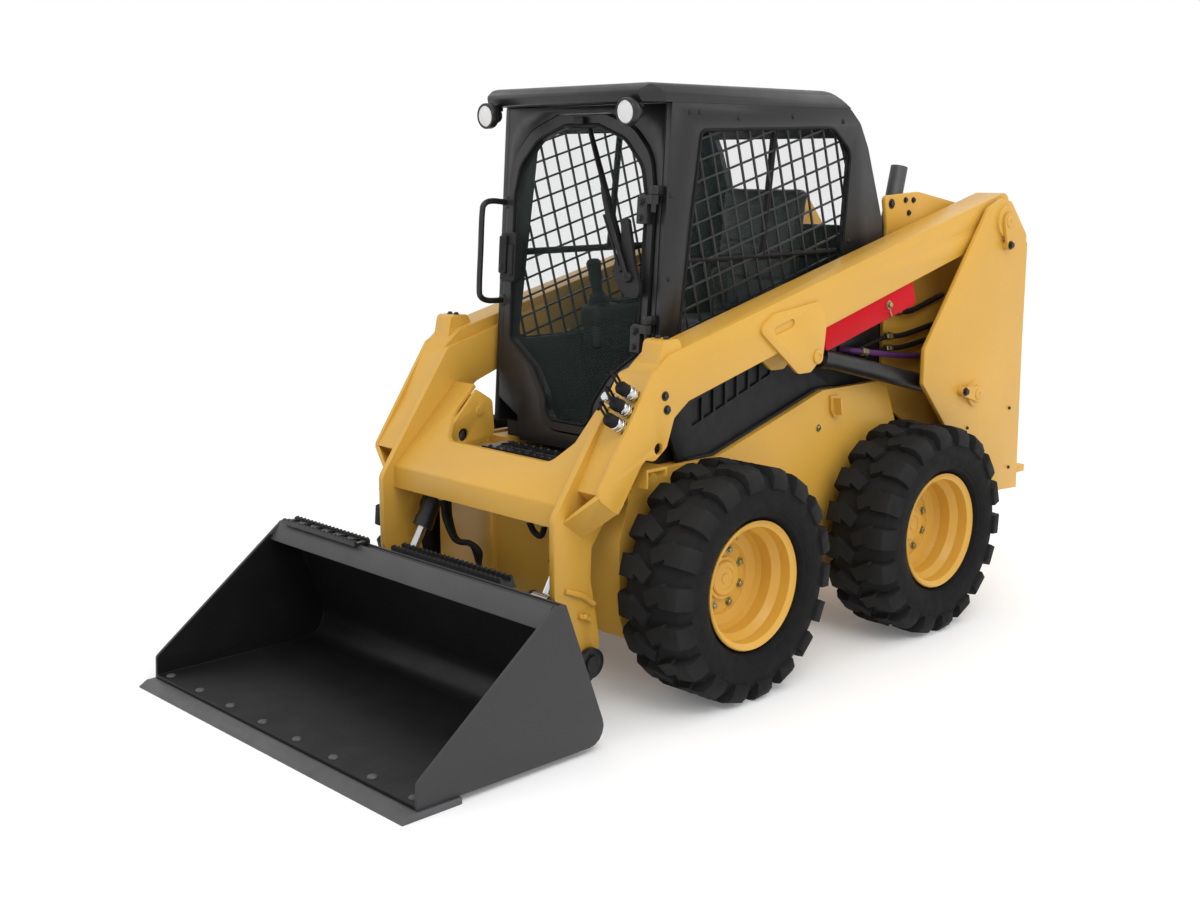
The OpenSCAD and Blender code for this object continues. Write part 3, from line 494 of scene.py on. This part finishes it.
for end, axle in AXLE_Y.items():
    for hand, s in SIDES.items():
        body = f"wheel_{end}_{hand}"
        bm = bmesh.new()
        for i in range(8):
            p = round_axle(s * RIM_FACE, axle, BOLT_CIRCLE, math.radians(22.5 + 45 * i))
            bolt(bm, p, X * s, 10.5, 11)
        piece(f"wheel_bolts_{end}_{hand}", bm, "zinc", body)
        bm = bmesh.new()
        lathe(bm, at(s * HUB_FACE, axle, AXLE_Z), X * s, HUB_CAP, 40)
        lathe(bm, at(s * RIM_FACE, axle, AXLE_Z), X * s, HUB_RING, 48)
        p = round_axle(s * VALVE_ROOT, axle, VALVE_CIRCLE, VALVE_TURN)
        stem = [p, p + X * s * 0.03, p + X * s * 0.05 - Z * 0.008, p + X * s * 0.062 - Z * 0.026]
        tube(bm, smooth_path(stem), 5)
        piece(f"wheel_hub_{end}_{hand}", bm, "yellow", body)

# Towers: keeper plates of the pins, bolts
KEEPERS = (((1176, 1572), 36, (1189, 1475)), ((1003, 880), 32, (905, 899)))     # pin, radius there, bolt
KEEPER_TAIL = 20
KEEPER_BACK = 655
KEEPER_FRONT = 665
PIN_WASHER = [(24, 0), (24, 3), (20, 5), (9, 5), (8, 3)]
KEEPER_SPACER = [(20, 0), (20, 15)]
TOWER_BOLTS = ((1287, 786), (970, 739), (1304, 528))
EAR_FACES = ((435.1, 1), (414.9, -1))       # x, outwards or inwards
EAR_BOLTS = ((676, 1648, 13), (769, 1661, 8), (823, 1660, 8), (794, 1610, 8))   # y, z, radius


def keeper_outline(pin, r_pin, tail, r_tail):
    """A plate with round ends, one about the pin and one about its bolt, as (y, z) points."""
    lie = math.atan2(tail[1] - pin[1], tail[0] - pin[0])
    out = []
    for (y, z), r, start in ((pin, r_pin, 90), (tail, r_tail, -90)):
        for i in range(13):
            turn = lie + math.radians(start + 15 * i)
            out.append((y + r * math.cos(turn), z + r * math.sin(turn)))
    return out


bm, dark = bmesh.new(), bmesh.new()
for s in SIDES.values():
    for pin, r_pin, tail in KEEPERS:
        outline = keeper_outline(pin, r_pin, tail, KEEPER_TAIL)
        slab(bm, [at(s * KEEPER_BACK, y, z) for y, z in outline], X * s * 0.011)
        lathe(bm, at(s * KEEPER_FRONT, *pin), X * s, PIN_WASHER, 24)
        lathe(bm, at(s * (TOWER_FACE + 0.2), *tail), X * s, KEEPER_SPACER, 20)
        bolt(dark, at(s * (KEEPER_FRONT + 0.5), *tail), X * s, 13, 11, 1.4)
    for y, z in TOWER_BOLTS:
        bolt(dark, at(s * (TOWER_FACE + 0.1), y, z), X * s, 6, 4, 1.2)
    for y, z, r in EAR_BOLTS:
        for x, facing in EAR_FACES:
            bolt(dark, at(s * x, y, z), X * s * facing, r, 7)
piece("tower_keepers", bm, "yellow", "chassis")
piece("tower_bolts", dark, "black", "chassis")

# Frame sides: lashing bracket and stud
BRACKET_PLATE = ((236, 935), (284, 935), (296, 858), (262, 850), (240, 880))
BRACKET_HOOK = ((252, 925), (264, 925), (276, 868), (264, 862))
bm, studs = bmesh.new(), bmesh.new()
for s in SIDES.values():
    slab(bm, [at(s * (FRAME_FACE + 0.2), y, z) for y, z in BRACKET_PLATE], X * s * 0.012)
    slab(bm, [at(s * (FRAME_FACE + 11), y, z) for y, z in BRACKET_HOOK], X * s * 0.034)
    bolt(studs, at(s * (FRAME_FACE + 0.1), 177, 818), X * s, 9, 7)
piece("side_brackets", bm, "yellow", "chassis")
piece("side_studs", studs, "zinc", "chassis")

# Lift arms: bolts, pin caps at the gussets, brace pin with its clip
PIN_CAP = [(26, 0), (26, 4), (22, 7), (13, 7), (12, 4), (3, 4)]
BRACE_PIN = [(17, 0), (17, 3), (10, 4), (10, 13), (7, 16)]
BRACE_CLIP = ((608, 447, 1268), (616, 440, 1250), (612, 452, 1232), (604, 462, 1244))
dark, bm = bmesh.new(), bmesh.new()
for s in SIDES.values():
    for y, z in ((-788, 1059), (-778, 1012)):
        bolt(dark, at(s * (ARM_FACE + 0.1), y, z), X * s, 11, 8, 1.45)
    lathe(bm, at(s * (ARM_FACE + 12.1), -2, 1118), X * s, PIN_CAP, 28)
    for x in (534, 572):
        bolt(dark, at(s * x, -748, 1240.2), Z, 8, 6, 1.4)
piece("arm_pin_caps", bm, "yellow", "arms")
piece("arm_bolts", dark, "black", "arms")
bm = bmesh.new()
lathe(bm, at(600.8, 447, 1276), X, BRACE_PIN, 20)
tube(bm, route(BRACE_CLIP), 2.6, 8)
piece("brace_pin", bm, "zinc", "arms")

# Hydraulic couplers on the left arm: collars, nuts, dust caps with their straps
WEB_TOP = Vector((-880, 1084))
WEB_LOW = Vector((-1062, 762))
COUPLERS = ((570, 0.06, True), (570, 0.21, True), (570, 0.36, True),
            (516, 0.16, False))     # x, share of the way down the web, capped
COUPLER_NUT = [(24, 0), (24, 9), (22, 11)]
COUPLER_COLLAR = [(20.5, 0), (23, 2), (23, 11), (21, 13), (21, 19), (23, 21), (23, 31), (19.5, 34)]
COUPLER_NOSE = [(15, 0), (18, 2), (18, 26), (15, 30), (12, 27)]
DUST_CAP = [(12, 0), (20, 1), (22, 4), (22, 30), (18, 37), (6, 39)]
STRAP = ((0.080, 0, 0), (0.092, -0.016, 0.022), (0.082, -0.034, 0.046), (0.058, -0.036, 0.046),
         (0.036, -0.024, 0.014))    # metres: out of the web, across, up
down = (WEB_LOW - WEB_TOP).normalized()
out = Vector((0, down.y, -down.x))
chrome, caps, zinc = bmesh.new(), bmesh.new(), bmesh.new()
for x, way, capped in COUPLERS:
    foot = WEB_TOP + way * (WEB_LOW - WEB_TOP)
    p = at(x, foot.x, foot.y)
    lathe(zinc, p + out * 0.002, out, COUPLER_NUT, 6)
    lathe(chrome, p + out * 0.012, out, COUPLER_COLLAR, 28)
    if capped:
        lathe(caps, p + out * 0.044, out, DUST_CAP, 24)
        tube(caps, smooth_path([p + out * o + X * a + Z * b for o, a, b in STRAP]), 4.5, 8)
    else:
        lathe(chrome, p + out * 0.046, out, COUPLER_NOSE, 24)
piece("coupler_collars", chrome, "chrome", "arms")
piece("coupler_nuts", zinc, "zinc", "arms")
piece("coupler_caps", caps, "seal", "arms")

# Bucket: cutting edge bolts, folded lip along the crest
EDGE_BOLTS = 8
EDGE_BOLT_PITCH = 202
LIP_HALF = 749.8
LIP_FOLD = ((-1411, 506.6), (-1415, 507.6), (-1419, 505), (-1463, 449), (-1464, 444), (-1459, 443),
            (-1433, 463))
bm = bmesh.new()
for i in range(EDGE_BOLTS):
    dome(bm, at(EDGE_BOLT_PITCH * (i - (EDGE_BOLTS - 1) / 2), -1912, 36), Z, 17, 8)
piece("edge_bolts", bm, "edge", "bucket")
bm = bmesh.new()
slab(bm, [at(-LIP_HALF, y, z) for y, z in LIP_FOLD], X * 2 * LIP_HALF * MM)
piece("bucket_lip", bm, "lip", "bucket")

# Work lamps under the roof, tail lamps
LAMP_X = 362
LAMP_AIM = Vector((0, -1, -0.06))
LAMP_SHELL = [(14, -6), (24, 0), (29, 12), (30, 29), (44, 33), (46, 38), (46, 60), (44, 63), (38, 63),
              (38, 40), (36, 38)]
LAMP_BOWL = [(10, 40), (37, 58), (37.6, 60), (36, 60), (30, 52), (18, 45), (4, 42.5)]
LAMP_LENS = [(37.6, 59), (36, 62), (26, 65.5), (8, 67)]
TAIL_X = 518
TAIL_Z = 1345
shell, glass, mirror = bmesh.new(), bmesh.new(), bmesh.new()
tail, bezel = bmesh.new(), bmesh.new()
for s in SIDES.values():
    c = at(s * LAMP_X, -672, 1978)
    lathe(shell, c, LAMP_AIM, LAMP_SHELL, 40)
    lathe(mirror, c, LAMP_AIM, LAMP_BOWL, 40)
    lathe(glass, c, LAMP_AIM, LAMP_LENS, 40)
    block(shell, at(s * LAMP_X, -668, 2000), (11, 12, 8), X, Y, 2)
    block(bezel, at(s * TAIL_X, 1379, TAIL_Z), (68, 60, 14), X, Z, 6)
    block(tail, at(s * TAIL_X, 1390, TAIL_Z), (58, 50, 10), X, Z, 8)
    for k in range(-2, 3):
        block(tail, at(s * TAIL_X, 1399, TAIL_Z + 18 * k), (52, 3, 2.4), X, Z, 1.2, 2)
piece("lamp_shells", shell, "black", "chassis", replaces=["lamps"])
piece("lamp_reflectors", mirror, "mirror", "chassis")
piece("lamp_lenses", glass, "clear", "chassis")
piece("tail_lamps", tail, "redlens", "chassis")
piece("tail_bezels", bezel, "plastic", "chassis")

# Cab door: seal, latch, hinge covers
DOOR_HALF = ((152, 14, 90), (158, 130, 60), (236, 236, 90), (372, 330, 60), (378, 860, 200),
             (352, 1005, 150), (262, 1096, 150), (120, 1146, 72))   # x, height, corner radius
SEAL_INSET = 35
SEAL_DEPTH = -10
LATCH_BLOCKS = (    # place on the cab front, half sizes, edge radius
    ((-330, -30, 632), (42, 92, 20), 12),   # case
    ((-344, -52, 640), (20, 70, 12), 9),    # handle
    ((-306, -50, 622), (14, 58, 8), 7),     # release
    ((0, -20, 1126), (26, 13, 10), 5),      # stop at the crown
)
LATCH_LOCK = [(11, 0), (11, 4), (8, 6), (3, 6)]
HINGE_HEIGHTS = (820, 382)
HINGE_BOLT_OFFSET = 26


def door_ring(inset):
    """The door's outline drawn in by an inset; the corners of its narrow foot are hollow."""
    half = []
    for x, s, r in DOOR_HALF:
        rise = inset if s < 20 else -inset if s > 1000 else 0
        bend = r + inset if 100 < s < 300 else max(12, r - 1.2 * inset)
        half.append((x - inset, s + rise, bend))
    return rounded(half + [(-x, s, r) for x, s, r in reversed(half)])


bm = bmesh.new()
tube(bm, [door_at(p.x, SEAL_DEPTH, p.y) for p in door_ring(SEAL_INSET)], 6.5, 8, closed=True)
piece("door_seal", bm, "seal", "cab_door")
bm = bmesh.new()
for place, half, edge in LATCH_BLOCKS:
    block(bm, door_at(*place), half, X, DOOR_UP, edge)
lathe(bm, door_at(-344, -62, 594), DOOR_OUT, LATCH_LOCK, 20)
piece("door_latch", bm, "plastic", "cab_door", replaces=["door_fittings"])
bm = bmesh.new()
for s in HINGE_HEIGHTS:
    block(bm, door_at(350, -25, s), (24, 46, 15), X, DOOR_UP, 5)
    for k in (-HINGE_BOLT_OFFSET, HINGE_BOLT_OFFSET):
        bolt(bm, door_at(346, -40, s + k), DOOR_OUT, 9, 7)
piece("door_hinge_covers", bm, "black", "cab_door")

# Wiper on the cab door: drive, arms, blade
DRIVE_COVER = ((258, 786, 12), (292, 792, 12), (318, 700, 40), (332, 640, 40), (364, 560, 20),
               (360, 528, 12), (312, 522, 12), (262, 552, 30), (228, 606, 20), (240, 650, 30), (266, 700, 30))
WIPER_HUB = [(19, 0), (19, 10), (15, 15), (6, 16)]
LINK_HUB = [(14, 0), (14, 8), (11, 12), (5, 13)]
WIPER_ARM = ((310, -54, 592), (262, -56, 690), (196, -50, 806), (150, -34, 892))
LINK_ARM = ((270, -52, 620), (240, -54, 690), (180, -50, 800))
BLADE_TIP = Vector((50, 1098))
BLADE_HEEL = Vector((238, 702))
BLADE_STEPS = 6
bm = bmesh.new()
slab(bm, [door_at(p.x, -30, p.y) for p in rounded(DRIVE_COVER)], DOOR_OUT * 0.014)
block(bm, door_at(312, -24, 560), (30, 34, 16), X, DOOR_UP, 9)
lathe(bm, door_at(310, -42, 592), DOOR_OUT, WIPER_HUB, 24)
lathe(bm, door_at(270, -42, 620), DOOR_OUT, LINK_HUB, 24)
tube(bm, door_route(WIPER_ARM), 8, 8)
tube(bm, door_route(LINK_ARM), 5, 8)
piece("wiper_drive", bm, "plastic", "cab_door")
bm = bmesh.new()
span = [BLADE_TIP.lerp(BLADE_HEEL, k / BLADE_STEPS) for k in range(BLADE_STEPS + 1)]
bow = [-21 - 6 * math.sin(math.pi * k / BLADE_STEPS) for k in range(BLADE_STEPS + 1)]
tube(bm, door_route([(p.x, n, p.y) for p, n in zip(span, bow)]), 5, 8)
lip_left = [door_at(p.x - 5, -8, p.y) for p in span]
lip_right = [door_at(p.x + 5, -8, p.y) for p in reversed(span)]
slab(bm, lip_left + lip_right, DOOR_OUT * 0.011)
piece("wiper_blade", bm, "seal", "cab_door")

# Grab handle on the right front pillar
HANDLE_MID = 650
HANDLE_REACH = 183
HANDLE_HALF = ((-402, -2, HANDLE_REACH), (-402, -70, 185), (-403, -106, 172),
               (-404, -115, 136))   # x, out, height from the middle
HANDLE_FOOT = [(22, 0), (22, 4), (19, 6), (12, 6.5)]
bm = bmesh.new()
upper = [door_at(x, n, HANDLE_MID + h) for x, n, h in HANDLE_HALF]
lower = [door_at(x, n, HANDLE_MID - h) for x, n, h in reversed(HANDLE_HALF)]
tube(bm, smooth_path(upper + [door_at(-404, -115, HANDLE_MID)] + lower, 6), 11, 14)
for h in (HANDLE_REACH, -HANDLE_REACH):
    lathe(bm, door_at(-402, 0, HANDLE_MID + h), DOOR_OUT, HANDLE_FOOT, 20)
piece("grab_handle", bm, "black", "chassis", replaces=["grab_rail"])

# Side windows: panes behind the guards, sash bars, seals and cab bolts
WINDOW = ((-430, 1918, 30), (300, 1937, 90), (410, 1850, 60), (385, 1560, 40), (360, 1140, 40),
          (-548, 1140, 40))     # y, z, corner radius
CAB_BOLTS = ((-490, 1977), (-440, 1978), (-240, 1962), (60, 1972), (360, 1960), (410, 1512), (-590, 1420),
             (-580, 1700))
PANE_X = 393
SASH_X = 398
SASH_Z = 1474
pane, seal, dark, bars = bmesh.new(), bmesh.new(), bmesh.new(), bmesh.new()
window_edge = rounded(WINDOW)
for s in SIDES.values():
    slab(pane, [at(s * PANE_X, p.x, p.y) for p in window_edge], X * s * 0.006)
    tube(seal, [at(s * (CAB_FACE - 1), p.x, p.y) for p in window_edge], 6, 8, closed=True)
    for y, z in CAB_BOLTS:
        dome(dark, at(s * CAB_FACE, y, z), X * s, 9, 5)
    tube(bars, [at(s * SASH_X, -512, SASH_Z), at(s * SASH_X, 374, SASH_Z)], 13, 8)
    tube(bars, [at(s * SASH_X, -66, SASH_Z), at(s * SASH_X, -8, 1926)], 13, 8)
piece("side_panes", pane, "glass", "chassis")
piece("sash_bars", bars, "seal", "chassis")
piece("window_seals", seal, "seal", "chassis")
piece("cab_bolts", dark, "plastic", "chassis")

# Seat: cushions swollen by cloth simulation on a suspension base
CLOTH_VOXEL = 0.009
CLOTH_PRESSURE = 4.0
CLOTH_FRAMES = 20
CHANNELS = (-0.45, 0.1, 0.6)    # sewn channels, as shares of the cushion's half length
CHANNEL_WIDTH = 0.045
CHANNEL_DEPTH = 0.007
BACK_TILT = 82
BELLOWS_FOLDS = 6
BELLOWS_PITCH = 32


def baked(obj):
    """The object's mesh with its modifiers applied."""
    graph = bpy.context.evaluated_depsgraph_get()
    mesh = bpy.data.meshes.new_from_object(obj.evaluated_get(graph))
    obj.modifiers.clear()
    obj.data = mesh
    return mesh


def swell(obj):
    """Cloth filled by pressure, without gravity."""
    cloth = obj.modifiers.new("cloth", "CLOTH")
    cloth.settings.use_pressure = True
    cloth.settings.uniform_pressure_force = CLOTH_PRESSURE
    cloth.settings.effector_weights.gravity = 0.0
    cloth.settings.tension_stiffness = 12
    for f in range(1, CLOTH_FRAMES + 1):
        scene.frame_set(f)


def cushion(name, centre, half, tilt, cap):
    """A padded form that swells by up to cap millimetres, with sewn channels across its top."""
    turn = Matrix.Rotation(math.radians(tilt), 4, "X")
    ahead = turn @ Y
    up = (turn @ Z).normalized()
    bm = bmesh.new()
    block(bm, centre, half, X, ahead, min(half) * 0.7, 4)
    obj = piece(name, bm, "vinyl", "chassis", ride=False)
    voxels = obj.modifiers.new("voxels", "REMESH")
    voxels.mode = "VOXEL"
    voxels.voxel_size = CLOTH_VOXEL
    rest = [v.co.copy() for v in baked(obj).vertices]
    swell(obj)
    done = baked(obj)
    for v, r in zip(done.vertices, rest):
        d = v.co - r
        if d.length > cap * MM:
            d = d.normalized() * cap * MM
        side = r - centre
        across = side.x / (half[0] * MM)
        along = side.dot(ahead) / (half[1] * MM)
        top = max(0.0, side.dot(up)) / (half[2] * MM)
        groove = sum(math.exp(-((along - g) / CHANNEL_WIDTH) ** 2) for g in CHANNELS)
        groove *= max(0.0, 1 - abs(across) ** 6)
        v.co = r + d - up * groove * top * CHANNEL_DEPTH
    scene.frame_set(1)
    done.materials.clear()
    done.materials.append(M["vinyl"])
    for poly in done.polygons:
        poly.use_smooth = True
    obj.modifiers.new("fine", "SUBSURF").levels = 1
    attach(obj, "chassis")
    return obj


base = cushion("seat_cushion", at(0, 165, 1150), (215, 262, 46), -2, 14)
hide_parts("seat")
cushion("seat_back", at(0, 392, 1455), (205, 262, 38), BACK_TILT, 14)
bm = bmesh.new()
block(bm, at(0, 150, 862), (185, 200, 26), X, Y, 8)
for k in range(BELLOWS_FOLDS):
    fold = (k % 2) * 12
    block(bm, at(0, 150, 900 + BELLOWS_PITCH * k), (168 - fold, 180 - fold, 17), X, Y, 9)
block(bm, at(0, 160, 1098), (205, 240, 10), X, Y, 6)
block(bm, at(0, 446, 1420), (150, 250, 9), X, Matrix.Rotation(math.radians(BACK_TILT), 3, "X") @ Y, 6)
piece("seat_base", bm, "plastic", "chassis")

# Control consoles: moulded pods on a rear column, with lever boots and grips
CONSOLE_BLOCKS = (      # place, half sizes, edge radius, steps of the edge
    ((335, 15, 1212), (54, 264, 46), 34, 5),    # arm rest
    ((335, -70, 1138), (46, 172, 62), 40, 5),   # belly
    ((340, 196, 1015), (40, 78, 176), 22, 4),   # column
    ((340, 186, 847), (47, 90, 12), 5, 3),      # foot
)
LEVER_LEAN = math.radians(10)
LEVER_BOOT = [(48, 0), (47, 10), (38, 18), (40, 26), (32, 34), (34, 42), (25, 52), (23, 58)]
LEVER_GRIP = [(22, 54), (23, 90), (28, 110), (26, 140), (29, 160), (30, 172), (22, 184), (8, 188)]
bm = bmesh.new()
for s in SIDES.values():
    for (x, y, z), half, edge, steps in CONSOLE_BLOCKS:
        block(bm, at(s * x, y, z), half, X, Y, edge, steps)
piece("console_pods", bm, "plastic", "chassis", replaces=["control_consoles"])
bm = bmesh.new()
for s in SIDES.values():
    foot = at(s * 330, -190, 1252)
    lean = Vector((0, -math.sin(LEVER_LEAN), math.cos(LEVER_LEAN)))
    lathe(bm, foot, lean, LEVER_BOOT, 28)
    lathe(bm, foot, lean, LEVER_GRIP, 24)
    block(bm, at(s * 336, 60, 1262), (44, 170, 10), X, Y, 8)
piece("control_levers", bm, "seal", "chassis")

# Hydraulic lines on both towers
TOWER_LINES = ((466, 640, 1128, 10), (466, 640, 1080, 6), (462, 700, 1222, 22))     # nut, rise to the rear
LINE_NUT = [(13, 0), (16, 2), (16, 16), (13, 17), (13, 22), (17, 24), (17, 38), (14, 40)]
SLEEVE = ((434, 372, 1098), (454, 384, 1096), (470, 410, 1091), (474, 520, 1075), (474, 640, 1056),
          (470, 760, 1040), (452, 880, 1028), (432, 930, 1024))
SLEEVE_NUT = [(14, 0), (18, 2), (18, 18), (14, 20), (14, 26), (17, 28), (17, 40), (13, 42)]
lines, nuts, sleeve = bmesh.new(), bmesh.new(), bmesh.new()
for s in SIDES.values():
    for x, y, z, rise in TOWER_LINES:
        rear = ((x, y, z), (x + 4, y + 90, z - 2), (x - 6, y + 220, z + rise), (446, y + 330, z + rise * 2),
                (432, y + 360, z + rise * 2))
        front = ((x, y, z), (x - 2, y - 90, z - 14), (x - 14, y - 190, z - 40), (434, y - 240, z - 60))
        tube(lines, route(rear, s), 11, 10)
        tube(lines, route(front, s), 9, 10)
        lathe(nuts, at(s * x, y - 16, z), Y, LINE_NUT, 6)
    tube(sleeve, route(SLEEVE, s), 12, 10)
    lathe(nuts, at(s * 472, 452, 1085.5), (0.02, 0.99, -0.14), SLEEVE_NUT, 6)
piece("tower_lines", lines, "seal", "chassis")
piece("tower_line_nuts", nuts, "zinc", "chassis")
piece("tower_sleeve", sleeve, "purple", "chassis")

# Hydraulic hoses under the crossmember
CROSS_HOSES = (
    ((-275, -1034, 648), (-273, -1030, 590), (-262, -1028, 529), (-208, -1028, 465), (-122, -1028, 468),
     (-75, -1026, 446), (-84, -1020, 408), (-115, -998, 394), (-149, -999, 452), (-235, -999, 455),
     (-272, -999, 519), (-278, -1001, 580), (-278, -1000, 648)),
    ((196, -1034, 648), (200, -1030, 610), (224, -1028, 575), (258, -1028, 566), (276, -1028, 596),
     (278, -1034, 648)),
)
HOSE_NUT = [(12, -44), (15, -42), (15, -26), (12, -24), (12, -16), (16, -14), (16, 0), (13, 2)]
lines, nuts = bmesh.new(), bmesh.new()
for hose in CROSS_HOSES:
    tube(lines, route(hose), 11, 10)
    for p in (hose[0], hose[-1]):
        lathe(nuts, at(*p), Z, HOSE_NUT, 6)
piece("crossmember_lines", lines, "seal", "arms")
piece("crossmember_nuts", nuts, "zinc", "arms")

# Ribs on the outside of the front legs
LEG_RIB = ((481, -1122, 436), (486, -1085, 422), (486, -1040, 402), (484, -994, 368))
bm = bmesh.new()
for s in SIDES.values():
    tube(bm, route(LEG_RIB, s), 11, 10)
    block(bm, at(s * 484, -1036, 330), (10, 30, 8), X, (0, 0.9, -0.42), 4)
    dome(bm, at(s * 491, -1040, 334), X * s, 12, 9)
piece("leg_ribs", bm, "yellow", "arms")

# Rear door: latch, and the radiator screen behind its louvres
SCREEN_PITCH = 20
SCREEN_BARS = 31
bm = bmesh.new()
block(bm, at(330, 1429, 1000), (26, 66, 8), X, Z, 6)
block(bm, at(326, 1438, 1006), (12, 48, 6), X, Z, 5)
piece("rear_latch", bm, "plastic", "rear_door")
bm = bmesh.new()
for k in range(SCREEN_BARS):
    x = SCREEN_PITCH * (k - (SCREEN_BARS - 1) / 2)
    block(bm, at(x, 1416, 1080), (2, 226, 1.5), X, Z, 0.6, 1)
piece("rear_screen", bm, "black", "rear_door")

# Entry step: raised rings round the holes, studs along both edges
STEP_TOP = 767.5
HOLE_PITCH = 66
STUD_PITCH = 42
HOLE_RING = [(27, 0), (26, 4), (23, 6), (21, 6), (20.5, 0)]
bm = bmesh.new()
for i in range(-4, 5):
    lathe(bm, at(i * HOLE_PITCH, -734, STEP_TOP), Z, HOLE_RING, 24)
for row in (-786, -682):
    for i in range(-7, 8):
        dome(bm, at(i * STUD_PITCH, row, STEP_TOP + 0.3), Z, 8, 6)
piece("step_grip", bm, "black", "chassis")

# Studio
FLOOR_HALF = 60.0
FLOOR_GLOW = 0.1
SKY_DARK = 0.5
SKY_BRIGHT = 1.2
SKY_AIM = (0.75, 0.1, 0.65)
WHITE = (1.0, 1.0, 1.0, 1.0)


def background_rays(tree):
    """One for rays from the camera, a mirror or a pane, and nought for the light that falls on the object."""
    path = tree.nodes.new("ShaderNodeLightPath")
    seen = calc(tree, "MAXIMUM", path.outputs["Is Camera Ray"], path.outputs["Is Glossy Ray"])
    return calc(tree, "MAXIMUM", seen, path.outputs["Is Transmission Ray"])


floor_mesh = bpy.data.meshes.new("studio_floor")
corners = [(FLOOR_HALF * x, FLOOR_HALF * y, 0) for x, y in ((-1, -1), (1, -1), (1, 1), (-1, 1))]
floor_mesh.from_pydata(corners, [], [(0, 1, 2, 3)])
floor = bpy.data.objects.new("studio_floor", floor_mesh)
scene.collection.objects.link(floor)
floor_mat, floor_tree, floor_shader = new_material("studio_paper")
link(floor_tree, ramp(floor_tree, noise(floor_tree, 1.5), [(0.3, grey(0.90)), (0.7, grey(0.93))]),
     floor_shader.inputs["Base Color"])
floor_shader.inputs["Roughness"].default_value = 0.9
floor_shader.inputs["Specular IOR Level"].default_value = 0.1
floor_shader.inputs["Emission Color"].default_value = WHITE
glow = calc(floor_tree, "MULTIPLY", background_rays(floor_tree), FLOOR_GLOW)
link(floor_tree, glow, floor_shader.inputs["Emission Strength"])
floor.data.materials.append(floor_mat)

world = bpy.data.worlds.new("studio")
world.use_nodes = True
scene.world = world
sky_tree = world.node_tree
back = sky_tree.nodes["Background"]
back.inputs["Color"].default_value = WHITE
coord = sky_tree.nodes.new("ShaderNodeTexCoord")
aim = sky_tree.nodes.new("ShaderNodeVectorMath")
aim.operation = "DOT_PRODUCT"
aim.inputs[1].default_value = SKY_AIM
link(sky_tree, coord.outputs["Generated"], aim.inputs[0])
sky = sky_tree.nodes.new("ShaderNodeMapRange")
sky.inputs["From Min"].default_value = -1.0
sky.inputs["To Min"].default_value = SKY_DARK
sky.inputs["To Max"].default_value = SKY_BRIGHT
link(sky_tree, aim.outputs["Value"], sky.inputs["Value"])
level = sky_tree.nodes.new("ShaderNodeMix")
level.inputs["B"].default_value = 1.0
link(sky_tree, background_rays(sky_tree), level.inputs["Factor"])
link(sky_tree, sky.outputs["Result"], level.inputs["A"])
link(sky_tree, level.outputs["Result"], back.inputs["Strength"])


def area(name, loc, target, size, power):
    """A soft rectangular lamp that faces its target."""
    data = bpy.data.lights.new(name, "AREA")
    data.shape = "RECTANGLE"
    data.size, data.size_y = size
    data.energy = power
    lamp = bpy.data.objects.new(name, data)
    lamp.location = loc
    lamp.rotation_euler = (Vector(target) - Vector(loc)).to_track_quat("-Z", "Y").to_euler()
    scene.collection.objects.link(lamp)


area("key_light", (4.5, -2.0, 6.0), (0, 0, 0.9), (4.0, 3.0), 130)
area("fill_light", (-5.5, -3.5, 4.0), (0, 0, 0.9), (4.0, 4.0), 20)
area("rim_light", (1.5, 6.0, 5.0), (0, 0.3, 1.0), (5.0, 2.5), 40)

# Camera, fitted to the photograph
cam_data = bpy.data.cameras.new("photo_camera")
cam_data.sensor_width = 36.0
cam_data.lens = 44.73
cam = bpy.data.objects.new("photo_camera", cam_data)
cam.location = Vector((3.943, -4.281 + SHIFT_Y, 1.819))
azimuth, elevation = math.radians(46.209), math.radians(11.021)
cam.rotation_euler = (math.pi / 2 - elevation, 0.0, azimuth)
scene.collection.objects.link(cam)
scene.camera = cam
scene.view_settings.view_transform = "Standard"
